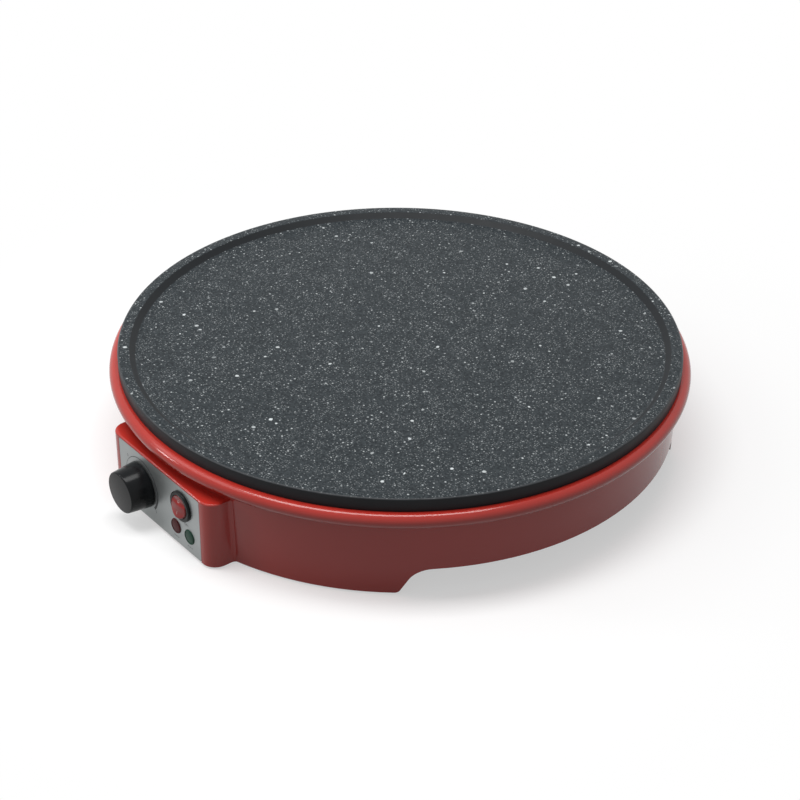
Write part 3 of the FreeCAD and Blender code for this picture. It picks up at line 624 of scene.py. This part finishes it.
class Palette:
    """All finishes of the crepe maker."""

    def __init__(self) -> None:
        """Builds the node groups and every material."""
        groups = Groups()
        self.coating = StoneCoating().make(groups)
        self.red_shell = Moulded("red_shell", (0.47, 0.031, 0.022), (0.44, 0.028, 0.019),
                                 (0.11, 0.15), 500.0, 0.000001, 0.36).make(groups)
        self.knob_black = Moulded("knob_black", (0.008, 0.009, 0.010), (0.006, 0.007, 0.008),
                                  (0.17, 0.23), 2200.0, 0.000006, 0.12).make(groups)
        self.bezel_black = Moulded("bezel_black", (0.010, 0.011, 0.011), (0.008, 0.009, 0.009),
                                   (0.22, 0.30), 1500.0, 0.000006, 0.12).make(groups)
        self.rubber = Moulded("foot_rubber", (0.028, 0.028, 0.029), (0.020, 0.020, 0.021),
                              (0.62, 0.78), 1800.0, 0.00004).make(groups)
        self.cover_black = Moulded("cover_black", (0.030, 0.030, 0.032), (0.024, 0.024, 0.026),
                                   (0.40, 0.55), 1100.0, 0.00003).make(groups)
        self.ink = Moulded("print_ink", (0.055, 0.058, 0.062), (0.045, 0.048, 0.052),
                           (0.5, 0.6)).make(groups)
        self.nylon = Moulded("nylon", (0.78, 0.76, 0.70), (0.72, 0.70, 0.64),
                             (0.40, 0.50)).make(groups)
        self.rocker_mark_and_highlight = Moulded("rocker_mark_and_highlight", (0.55, 0.40, 0.38), (0.48, 0.34, 0.32),
                                   (0.3, 0.4)).make(groups)
        self.rocker_red = Lens("rocker_red", (0.34, 0.010, 0.008), (0.238, 0.007, 0.0056),
                               (0.07, 0.12), specular=0.25).make(groups)
        self.light_red = Lens("light_red", (0.085, 0.012, 0.013), (0.0595, 0.0084, 0.0091),
                              (0.34, 0.46), specular=0.12).make(groups)
        self.light_green = Lens("light_green", (0.018, 0.070, 0.044), (0.0126, 0.049, 0.0308),
                                (0.34, 0.46), specular=0.14).make(groups)
        self.silver = Metal("silver_panel", (0.33, 0.35, 0.35), (0.34, 0.44),
                            1.0, 0.75).make(groups)
        self.sheet_steel = Metal("sheet_steel", (0.60, 0.60, 0.60), (0.28, 0.42)).make(groups)
        self.zinc = Metal("zinc_steel", (0.62, 0.61, 0.57), (0.25, 0.38), 1.0).make(groups)
        self.brass = Metal("brass_tag", (0.72, 0.55, 0.26), (0.25, 0.36)).make(groups)


@dataclass
class CookingPlate:
    """The round cast plate with its raised ring, spigot, element rib and centre boss."""

    node: str = "cooking_plate"
    radius: float = 192.5 * MM
    lip_width: float = 8.0 * MM
    lip_height: float = 3.7 * MM
    lip_round: float = 1.2 * MM
    slope_width: float = 4.0 * MM
    slope_foot_round: float = 1.6 * MM
    level_ring: float = 20.0 * MM
    side_height: float = 9.45 * MM
    edge_round: float = 1.1 * MM
    seat_round: float = 0.4 * MM
    floor_thickness: float = 5.0 * MM
    spigot_inset: float = 6.0 * MM
    spigot_width: float = 4.0 * MM
    spigot_depth: float = 4.0 * MM
    spigot_round: float = 0.3 * MM
    rib_centre: float = 118.0 * MM
    rib_half: float = 8.0 * MM
    rib_depth: float = 5.8 * MM
    rib_round: float = 0.5 * MM
    groove_half: float = 3.6 * MM
    groove_depth: float = 5.0 * MM
    groove_round: float = 2.5 * MM
    boss_radius: float = 14.0 * MM
    boss_root_round: float = 0.8 * MM
    boss_round: float = 0.5 * MM
    stud_hole_radius: float = 3.0 * MM
    stud_hole_depth: float = 11.0 * MM
    steps: int = 288

    def profile(self) -> list[tuple[float, float]]:
        """Section of the plate from its middle round to the boss.

        Returns:
            Points as radius and height.
        """
        low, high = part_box(self.node)
        top = high.z
        seat = top - self.side_height
        floor = top - self.lip_height
        under = floor - self.floor_thickness
        lip = self.radius - self.lip_width
        slope = lip - self.slope_width
        spigot = self.radius - self.spigot_inset
        spigot_in = spigot - self.spigot_width
        spigot_low = seat - self.spigot_depth
        rib_out = self.rib_centre + self.rib_half
        rib_in = self.rib_centre - self.rib_half
        rib_low = under - self.rib_depth
        groove_out = self.rib_centre + self.groove_half
        groove_in = self.rib_centre - self.groove_half
        groove_top = rib_low + self.groove_depth
        hole_top = low.z + self.stud_hole_depth
        corners = [
            (0.0, floor, 0.0),
            (slope - self.level_ring, floor, 0.0),
            (slope, floor, self.slope_foot_round),
            (lip, top, self.lip_round),
            (self.radius, top, self.edge_round),
            (self.radius, seat, self.seat_round),
            (spigot, seat, 0.0),
            (spigot, spigot_low, self.spigot_round),
            (spigot_in, spigot_low, self.spigot_round),
            (spigot_in, under, 0.0),
            (rib_out, under, 0.0),
            (rib_out, rib_low, self.rib_round),
            (groove_out, rib_low, 0.0),
            (groove_out, groove_top, self.groove_round),
            (groove_in, groove_top, self.groove_round),
            (groove_in, rib_low, 0.0),
            (rib_in, rib_low, self.rib_round),
            (rib_in, under, 0.0),
            (self.boss_radius, under, self.boss_root_round),
            (self.boss_radius, low.z, self.boss_round),
            (self.stud_hole_radius, low.z, 0.0),
            (self.stud_hole_radius, hole_top, 0.0),
            (0.0, hole_top, 0.0),
        ]
        return rounded_profile(corners)

    def build(self, palette: Palette) -> None:
        """Makes and dresses the plate.

        Args:
            palette: The finishes.
        """
        bm = bmesh.new()
        turned(bm, self.profile(), ORIGIN, Axis.UP, self.steps)
        plate = finish_mesh(bm, "plate_casting")
        place(plate, palette.coating, Body.BASE, "coated_plate", self.node)


@dataclass
class BaseShell:
    """The red moulded base, with a finely turned rim bead."""

    node: str = "base_housing"
    seat_radius: float = 187.0 * MM
    seat_height: float = 65.55 * MM
    bead_radius: float = 5.2 * MM
    bead_centre: float = 193.6 * MM
    wall_radius: float = 191.3 * MM
    neck_round: float = 1.0 * MM
    skin: float = 0.5 * MM
    sink: float = 0.12 * MM
    bead_steps: int = 26
    neck_steps: int = 6
    steps: int = 400

    def ring_profile(self) -> list[tuple[float, float]]:
        """Closed section of the rim's outer skin, from the seat over the bead to the wall.

        Returns:
            Points as radius and height.
        """
        middle = self.seat_height - self.bead_radius
        low = middle - self.bead_radius
        points = [(self.seat_radius, self.seat_height)]
        for step in range(self.bead_steps + 1):
            angle = math.radians(90 - 180 * step / self.bead_steps)
            points.append((self.bead_centre + self.bead_radius * math.cos(angle),
                           middle + self.bead_radius * math.sin(angle)))
        for step in range(self.neck_steps + 1):
            angle = math.radians(90 + 90 * step / self.neck_steps)
            points.append((self.wall_radius + self.neck_round * (1 + math.cos(angle)),
                           low - self.neck_round * (1 - math.sin(angle))))
        points.append((self.wall_radius - self.skin, low - self.neck_round))
        points.append((self.seat_radius, self.seat_height - self.skin))
        points.append((self.seat_radius, self.seat_height))
        return points

    def build(self, palette: Palette) -> None:
        """Makes and dresses the base.

        Args:
            palette: The finishes.
        """
        bm = merged_copy(self.node)
        self.sink_rim(bm)
        ring = bmesh.new()
        turned(ring, self.ring_profile(), ORIGIN, Axis.UP, self.steps)
        bmesh.ops.recalc_face_normals(ring, faces=ring.faces)
        spare = bpy.data.meshes.new("rim_skin")
        ring.to_mesh(spare)
        ring.free()
        bm.from_mesh(spare)
        bpy.data.meshes.remove(spare)
        shell = finish_mesh(bm, "base_shell", outward=False)
        shading = shell.modifiers.new("even_shading", "WEIGHTED_NORMAL")
        shading.keep_sharp = True
        place(shell, palette.red_shell, Body.BASE, "red_shell", self.node)

    def sink_rim(self, bm: BMesh) -> None:
        """Lowers the copy's own rim a little, so that the turned ring covers it.

        Args:
            bm: The merged copy of the shell.
        """
        middle = self.seat_height - self.bead_radius
        low = middle - self.bead_radius - self.neck_round
        for vert in bm.verts:
            radius = math.hypot(vert.co.x, vert.co.y)
            if vert.co.z <= low + self.sink or radius <= self.seat_radius + self.sink:
                continue
            arm = math.hypot(radius - self.bead_centre, vert.co.z - middle)
            on_seat = abs(vert.co.z - self.seat_height) < self.sink
            if arm > self.bead_radius - self.sink or on_seat:
                vert.co -= vert.normal * self.sink


@dataclass
class Knob:
    """The tapered temperature knob."""

    node: str = "temperature_knob"
    base_radius: float = 16.0 * MM
    face_radius: float = 14.3 * MM
    edge_round: float = 1.0 * MM
    wall: float = 2.4 * MM
    wall_rounds: tuple[float, float, float] = (0.35 * MM, 0.3 * MM, 0.8 * MM)
    face_thickness: float = 3.0 * MM
    hub_radius: float = 5.6 * MM
    hub_start: float = 3.2 * MM
    hub_rounds: tuple[float, float] = (0.5 * MM, 0.3 * MM)
    shaft_radius: float = 3.03 * MM
    shaft_round: float = 0.2 * MM
    shaft_gap: float = 1.0 * MM
    steps: int = 128

    def build(self, palette: Palette) -> None:
        """Makes and dresses the knob.

        Args:
            palette: The finishes.
        """
        low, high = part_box(self.node)
        middle = (low + high) / 2
        length = high.y - low.y
        inner = length - self.face_thickness
        shaft_end = inner - self.shaft_gap
        taper = (self.base_radius - self.face_radius) / length
        wall_in = self.base_radius - self.wall
        back_outer, back_inner, deep = self.wall_rounds
        hub_root, hub_edge = self.hub_rounds
        centre = Vector((middle.x, high.y, middle.z))
        corners = [
            (0.0, length, 0.0),
            (self.face_radius, length, self.edge_round),
            (self.base_radius, 0.0, back_outer),
            (wall_in, 0.0, back_inner),
            (wall_in - taper * inner, inner, deep),
            (self.hub_radius, inner, hub_root),
            (self.hub_radius, self.hub_start, hub_edge),
            (self.shaft_radius, self.hub_start, self.shaft_round),
            (self.shaft_radius, shaft_end, 0.0),
            (0.0, shaft_end, 0.0),
        ]
        bm = bmesh.new()
        turned(bm, rounded_profile(corners), centre, Axis.FRONT, self.steps)
        knob = finish_mesh(bm, "knob_cap")
        place(knob, palette.knob_black, Body.KNOB, "black_plastic", self.node)


@dataclass
class Panel:
    """The silver faceplate and the plain marks printed on it."""

    node: str = "faceplate"
    knob_node: str = "temperature_knob"
    ink_lift: float = 0.02 * MM
    arc_start: float = 166.0
    arc_end: float = -40.0
    arc_radius: float = 19.2 * MM
    arc_shrink: float = 0.9 * MM
    arc_width: tuple[float, float] = (0.32 * MM, 1.9 * MM)
    arc_growth: float = 1.4
    arc_steps: int = 72
    letter_size: float = 2.94 * MM
    marks: tuple[tuple[str, float, float], ...] = (
        ("0", -36.6 * MM, 39.6 * MM), ("5", -5.2 * MM, 11.6 * MM), ("ON", 31.0 * MM, 22.2 * MM))
    rules: tuple[tuple[float, float], ...] = ((18.65 * MM, 6.4 * MM), (34.15 * MM, 6.4 * MM))
    dash_width: float = 1.5 * MM
    dash_height: float = 0.55 * MM
    dash_pitch: float = 2.1 * MM

    def build(self, palette: Palette) -> None:
        """Dresses the faceplate and prints the dial.

        Args:
            palette: The finishes.
        """
        dress(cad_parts[self.node], palette.silver)
        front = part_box(self.node)[0].y - self.ink_lift
        prints = [self.dial_arc(front), self.light_rules(front)]
        prints += [self.letters(word, Vector((x, front, z))) for word, x, z in self.marks]
        for ink in prints:
            place(ink, palette.ink, Body.BASE, "silver_panel")

    def dial_arc(self, front: float) -> Piece:
        """Prints a line round the knob that widens towards hot.

        Args:
            front: Where the ink lies along Y.

        Returns:
            The printed arc.
        """
        low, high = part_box(self.knob_node)
        centre = Vector(((low.x + high.x) / 2, front, (low.z + high.z) / 2))
        turn = math.radians(self.arc_end - self.arc_start)
        first = math.radians(self.arc_start)
        out = Vector((math.cos(first), 0, math.sin(first)))
        thin, thick = self.arc_width
        bm = bmesh.new()
        ends = [bm.verts.new(centre + out * (self.arc_radius + side * thin)) for side in (1, -1)]
        bmesh.ops.spin(bm, geom=[*ends, bm.edges.new(ends)], cent=centre, axis=Axis.FRONT.value,
                       dvec=(0, 0, 0), angle=turn, steps=self.arc_steps, use_merge=False,
                       use_normal_flip=False, use_duplicate=False)
        for vert in bm.verts:
            arm = vert.co - centre
            share = max((first - math.atan2(arm.z, arm.x)) / -turn, 0.0)
            width = thin + (thick - thin) * share ** self.arc_growth
            side = 1 if arm.length > self.arc_radius else -1
            radius = self.arc_radius - self.arc_shrink * share ** 2 + side * width / 2
            vert.co = centre + arm.normalized() * radius
        return self.printed(bm, "dial_arc")

    def light_rules(self, front: float) -> Piece:
        """Prints a short row of dashes under each light.

        Args:
            front: Where the ink lies along Y.

        Returns:
            The printed dashes.
        """
        shape = STAND_UP @ Matrix.Diagonal((self.dash_width, self.dash_height, 1, 1))
        bm = bmesh.new()
        for x, z in self.rules:
            for step in (-1, 0, 1):
                where = Matrix.Translation((x + step * self.dash_pitch, front, z))
                bmesh.ops.create_grid(bm, x_segments=1, y_segments=1, size=HALF_SIDE,
                                      matrix=where @ shape)
        return self.printed(bm, "light_rules")

    def letters(self, word: str, where: Vector) -> Piece:
        """Prints a plain number or switch mark.

        Args:
            word: What it says.
            where: Its middle.

        Returns:
            The printed mark.
        """
        curve = bpy.data.curves.new(word, "FONT")
        curve.body = word
        curve.size = self.letter_size
        curve.align_x = "CENTER"
        curve.align_y = "CENTER"
        text = bpy.data.objects.new(word, curve)
        bm = bmesh.new()
        bm.from_mesh(text.to_mesh())
        text.to_mesh_clear()
        bpy.data.objects.remove(text)
        bmesh.ops.transform(bm, verts=bm.verts, matrix=Matrix.Translation(where) @ STAND_UP)
        return self.printed(bm, f"mark_{word.lower()}")

    def printed(self, bm: BMesh, name: str) -> Piece:
        """Finishes a print that faces the front.

        Args:
            bm: The flat print; it is freed.
            name: Name of the print.

        Returns:
            The print.
        """
        bmesh.ops.remove_doubles(bm, verts=bm.verts, dist=LOOSE_POINT)
        face_front(bm)
        return finish_mesh(bm, name, outward=False)


@dataclass
class Rocker:
    """The round rocker of the switch: a ball-sided button with two finger dishes, tipped to off."""

    node: str = "switch_rocker"
    pivot: Corner = (26.4 * MM, -199.0 * MM, 34.3 * MM)
    radius: float = 8.0 * MM
    front: float = 2.8 * MM
    depth: float = 4.0 * MM
    edge_round: float = 0.7 * MM
    upper_dish: float = 0.80 * MM
    upper_end: float = 0.7
    ridge: float = 2.0 * MM
    flank: float = 2.2 * MM
    lower_dish: float = 0.30 * MM
    lower_reach: float = 7.6 * MM
    crown: float = 0.60 * MM
    tilt: float = -8.0
    back_rim: float = 1.2 * MM
    pin_radius: float = 1.0 * MM
    pin_length: float = 9.0 * MM
    ring_radii: tuple[float, float] = (0.95 * MM, 0.65 * MM)
    ring_height: float = 4.2 * MM
    bar_size: tuple[float, float] = (0.36 * MM, 2.2 * MM)
    bar_height: float = -3.8 * MM
    mark_lift: float = 0.03 * MM
    round_steps: int = 32
    side_steps: int = 8
    rings: int = 28
    steps: int = 128

    def face_sink(self, x: float, z: float) -> float:
        """How far the pressed face lies behind its front plane.

        Args:
            x: Distance from the middle across.
            z: Distance from the middle upwards.

        Returns:
            The depth, in metres.
        """
        crown = self.crown * (x / self.radius) ** 2
        if z < self.ridge:
            share = min((self.ridge - z) / (self.lower_reach + self.ridge), 1.0)
            return crown + self.lower_dish * math.sin(math.pi * share) ** 2
        deep = self.ridge + self.flank
        climb = self.eased(min((z - self.ridge) / self.flank, 1.0))
        rest = self.eased(max((z - deep) / (self.radius - deep), 0.0))
        return crown + self.upper_dish * climb * (1 - self.upper_end * rest)

    def eased(self, share: float) -> float:
        """Gives a share from 0 to 1 a slow start and a slow end."""
        return share ** 2 * (3 - 2 * share)

    def button(self) -> BMesh:
        """Turns the button and presses its dishes.

        Returns:
            The button's mesh, not yet tipped.
        """
        rim = math.sqrt(self.radius ** 2 - self.front ** 2)
        foot = math.sqrt(self.radius ** 2 - self.depth ** 2)
        corners = [(rim * step / self.rings, self.front, 0.0) for step in range(self.rings)]
        for step in range(self.side_steps + 1):
            height = self.front - (self.front + self.depth) * step / self.side_steps
            fillet = self.edge_round if step == 0 else 0.0
            corners.append((math.sqrt(self.radius ** 2 - height ** 2), height, fillet))
        corners += [(foot - self.back_rim, -self.depth, 0.0), (0.0, -self.depth, 0.0)]
        pivot = Vector(self.pivot)
        bm = bmesh.new()
        turned(bm, rounded_profile(corners), pivot, Axis.FRONT, self.steps)
        for vert in bm.verts:
            arm = vert.co - pivot
            if -arm.y > self.front - self.edge_round:
                share = (-arm.y - self.front + self.edge_round) / self.edge_round
                vert.co.y += self.face_sink(arm.x, arm.z) * share
        return bm

    def build(self, palette: Palette) -> None:
        """Makes and dresses the rocker and its marks.

        Args:
            palette: The finishes.
        """
        bm = self.button()
        turn = Matrix.Rotation(math.radians(90), 4, "Y")
        bmesh.ops.create_cone(bm, cap_ends=True, segments=self.round_steps, radius1=self.pin_radius,
                              radius2=self.pin_radius, depth=2 * self.pin_length,
                              matrix=Matrix.Translation(self.pivot) @ turn)
        self.tip(bm)
        button = finish_mesh(bm, "rocker_button")
        place(button, palette.rocker_red, Body.ROCKER, "red_lens", self.node)
        place(self.mark(), palette.rocker_mark_and_highlight, Body.ROCKER, "red_lens")

    def mark(self) -> Piece:
        """Prints the plain on bar and off ring on the pressed face; the pale off ring, high on the
        face, is also a painted highlight.

        Returns:
            The printed marks.
        """
        pivot = Vector(self.pivot)
        ring_place = Matrix.Translation(pivot + Vector((0, 0, self.ring_height))) @ STAND_UP
        bar_place = Matrix.Translation(pivot + Vector((0, 0, self.bar_height))) @ STAND_UP
        bm = bmesh.new()
        # The pale off ring sits where the rocker's highlight falls: print and painted highlight in
        # one.
        for radius in self.ring_radii:
            bmesh.ops.create_circle(bm, cap_ends=False, segments=self.round_steps, radius=radius)
        bmesh.ops.bridge_loops(bm, edges=bm.edges[:])
        bmesh.ops.transform(bm, verts=bm.verts, matrix=ring_place)
        bmesh.ops.create_grid(bm, x_segments=1, y_segments=6, size=HALF_SIDE,
                              matrix=bar_place @ Matrix.Diagonal((*self.bar_size, 1, 1)))
        for vert in bm.verts:
            arm = vert.co - pivot
            vert.co.y = pivot.y - self.front + self.face_sink(arm.x, arm.z) - self.mark_lift
        self.tip(bm)
        face_front(bm)
        return finish_mesh(bm, "rocker_marks_and_highlight", outward=False)

    def tip(self, bm: BMesh) -> None:
        """Tips a mesh about the pivot to off."""
        turn = Matrix.Rotation(math.radians(self.tilt), 3, "X")
        bmesh.ops.rotate(bm, verts=bm.verts, cent=self.pivot, matrix=turn)


@dataclass
class PilotLight:
    """One round pilot light: a low domed lens with a sunk ring inside its rim."""

    node: str
    name: str
    finish: str
    slot: str
    rim_width: float = 0.75 * MM
    rim_depth: float = 0.12 * MM
    rim_slope: float = 0.18 * MM
    rim_level: float = 0.35 * MM
    rim_rounds: tuple[float, float] = (0.12 * MM, 0.30 * MM)
    groove: float = 0.57 * MM
    groove_round: float = 0.08 * MM
    dome: float = 0.30 * MM
    dome_depth: float = 0.1 * MM
    dome_share: float = 0.92
    dome_steps: int = 8
    side_depth: float = 0.63 * MM
    side_round: float = 0.1 * MM
    head_depth: float = 0.9 * MM
    barrel_radius: float = 4.7 * MM
    barrel_round: float = 0.3 * MM
    steps: int = 96

    def build(self, palette: Palette) -> None:
        """Makes and dresses the light.

        Args:
            palette: The finishes.
        """
        low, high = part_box(self.node)
        middle = (low + high) / 2
        radius = (high.x - low.x) / 2
        length = high.y - low.y
        inner = radius - self.rim_width
        centre = Vector((middle.x, high.y, middle.z))
        rim = length - self.rim_depth
        neck = length - self.head_depth
        rim_in, rim_out = self.rim_rounds
        corners = []
        for step in range(self.dome_steps + 1):
            share = step / self.dome_steps
            height = length - self.dome_depth - self.dome * share ** 2
            corners.append((inner * self.dome_share * share, height, 0.0))
        corners += [
            (inner, length - self.groove, self.groove_round),
            (inner + self.rim_slope, rim, rim_in),
            (radius - self.rim_level, rim, rim_out),
            (radius, length - self.side_depth, self.side_round),
            (radius, neck, 0.0),
            (self.barrel_radius, neck, 0.0),
            (self.barrel_radius, 0.0, self.barrel_round),
            (0.0, 0.0, 0.0),
        ]
        bm = bmesh.new()
        turned(bm, rounded_profile(corners), centre, Axis.FRONT, self.steps)
        finish = getattr(palette, self.finish)
        place(finish_mesh(bm, self.name), finish, Body.BASE, self.slot, self.node)


@dataclass(frozen=True)
class Lamp:
    """A soft rectangular lamp; spin is from the X axis to its long side, in degrees from above."""

    name: str
    where: Corner
    aim: Corner
    size: tuple[float, float]
    power: float
    spin: float = 0.0

    def hang(self) -> None:
        """Hangs the lamp so that it faces its aim."""
        data = bpy.data.lights.new(self.name, "AREA")
        data.shape = "RECTANGLE"
        data.size, data.size_y = self.size
        data.energy = self.power
        lamp = bpy.data.objects.new(self.name, data)
        lamp.location = self.where
        back = (Vector(self.where) - Vector(self.aim)).normalized()
        along = Vector((math.cos(math.radians(self.spin)), math.sin(math.radians(self.spin)), 0))
        across = back.cross(along).normalized()
        turn = Matrix((across.cross(back), across, back)).transposed()
        lamp.rotation_mode = "QUATERNION"
        lamp.rotation_quaternion = turn.to_quaternion()
        bpy.context.scene.collection.objects.link(lamp)


@dataclass
class Studio:
    """Floor, world, lamps and camera."""

    azimuth: float = 51.0
    elevation: float = 30.79
    distance: float = 1.3475
    roll: float = -0.6467
    lens: float = 88.53
    film_width: float = 36.0
    far_limit: float = 100.0
    plate_top: float = 75.0 * MM
    aim_drop: float = 52.26 * MM
    aim_right: float = 0.14 * MM
    floor_size: float = 12.0
    floor_bounce: float = 0.16
    floor_white: float = 0.95
    floor_glow: float = 0.5
    shadow_reach: tuple[float, float] = (0.24, 0.42)
    ambient: float = 0.26
    lamps: tuple[Lamp, ...] = (
        Lamp("overhead", (-0.10, -0.18, 1.9), (0, 0, 0.06), (1.6, 0.66), 30.0, 60.0),
        Lamp("front_top", (-0.75, -0.85, 1.2), (0, -0.1, 0.05), (1.0, 0.8), 5.0),
        Lamp("front_left", (-1.1, -1.35, 0.60), (0, -0.2, 0.03), (0.22, 0.22), 3.5),
    )

    def camera(self) -> None:
        """Stands the camera where the photograph was taken from."""
        a, e = math.radians(self.azimuth), math.radians(self.elevation)
        back = Vector((math.sin(a) * math.cos(e), -math.cos(a) * math.cos(e), math.sin(e)))
        eye = Vector((0, 0, self.plate_top)) + back * self.distance
        side = Vector((math.cos(a), math.sin(a), 0))
        aim = Vector((0, 0, self.plate_top - self.aim_drop)) + side * self.aim_right
        look = (eye - aim).normalized()
        right = Vector((0, 0, 1)).cross(look).normalized()
        up = look.cross(right)
        turn = Matrix((right, up, look)).transposed().to_4x4()
        roll = Matrix.Rotation(math.radians(-self.roll), 4, "Z")
        data = bpy.data.cameras.new("camera")
        data.lens = self.lens
        data.sensor_width = self.film_width
        data.clip_end = self.far_limit
        camera = bpy.data.objects.new("camera", data)
        camera.matrix_world = Matrix.Translation(eye) @ turn @ roll
        bpy.context.scene.collection.objects.link(camera)
        bpy.context.scene.camera = camera

    def world(self) -> None:
        """Sets a dim surround that the camera and the reflections see as white."""
        world = bpy.data.worlds.new("surround")
        bpy.context.scene.world = world
        world.use_nodes = True
        sheet = NodeSheet(world.node_tree)
        back = sheet.tree.nodes["Background"].inputs
        sheet.feed(back["Strength"], sheet.spread(sheet.seen_directly(), self.ambient, 1.0))
        sheet.feed(back["Color"], (1, 1, 1, 1))

    def floor(self) -> None:
        """Lays a plain pale floor that fades to white away from the object and keeps its shadow."""
        bm = bmesh.new()
        bmesh.ops.create_grid(bm, x_segments=1, y_segments=1, size=self.floor_size / 2)
        floor = finish_mesh(bm, "floor")
        sheet = MaterialSheet("floor")
        seen = sheet.seen_directly()
        sheet.shade({
            "Base Color": sheet.spread(seen, self.floor_bounce, self.floor_white),
            "Roughness": 0.9,
            "Specular IOR Level": 0.0,
        })
        near, far = self.shadow_reach
        away = {"Value": sheet.add("VectorMath", {0: sheet.place}, operation="LENGTH")["Value"],
                "From Min": near, "From Max": far, "To Min": self.floor_glow}
        fade = sheet.add("MapRange", away, interpolation_type="SMOOTHSTEP")["Result"]
        mix = sheet.add("MixShader", {"Fac": sheet.math("MULTIPLY", fade, seen),
                                      1: sheet.shader.outputs["BSDF"],
                                      2: sheet.add("Emission")["Emission"]})
        sheet.feed(sheet.tree.nodes["Material Output"].inputs["Surface"], mix["Shader"])
        dress(floor, sheet.material)

    def build(self) -> None:
        """Sets up the whole studio."""
        bpy.context.scene.view_settings.view_transform = "Standard"
        self.world()
        self.floor()
        for lamp in self.lamps:
            lamp.hang()
        self.camera()


@dataclass
class PlainNodes:
    """CAD nodes whose shape is right and which only get a finish."""

    finishes: tuple[tuple[str, tuple[str, ...]], ...] = (
        ("sheet_steel", ("heating_element", "heat_reflector", "sensor_clips")),
        ("zinc", ("element_terminals", "tie_stud", "tie_nuts", "tie_washer", "cover_screws",
                  "thermostat_shaft", "thermostat_body", "thermostat_nut", "light_clips")),
        ("brass", ("thermostat_sensor", "switch_terminals", "terminal_screws")),
        ("bezel_black", ("switch_housing", "thermal_cutout", "cord_gland")),
        ("cover_black", ("bottom_cover",)),
        ("rubber", ("rubber_feet",)),
        ("nylon", ("terminal_block",)),
    )

    def build(self, palette: Palette) -> None:
        """Dresses each node.

        Args:
            palette: The finishes.
        """
        for finish, nodes in self.finishes:
            for node in nodes:
                dress(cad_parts[node], getattr(palette, finish))


def main() -> None:
    """Builds every sub-assembly and the studio, in order."""
    logging.basicConfig(level=logging.INFO, format="%(name)s %(message)s")
    palette = Palette()
    lights = (PilotLight("red_light", "red_lens", "light_red", "red_lens"),
              PilotLight("green_light", "green_lens", "light_green", "green_lens"))
    for part in (CookingPlate(), BaseShell(), Panel(), Knob(), Rocker(), *lights, PlainNodes()):
        part.build(palette)
    Studio().build()


if __name__ == "__main__":
    main()
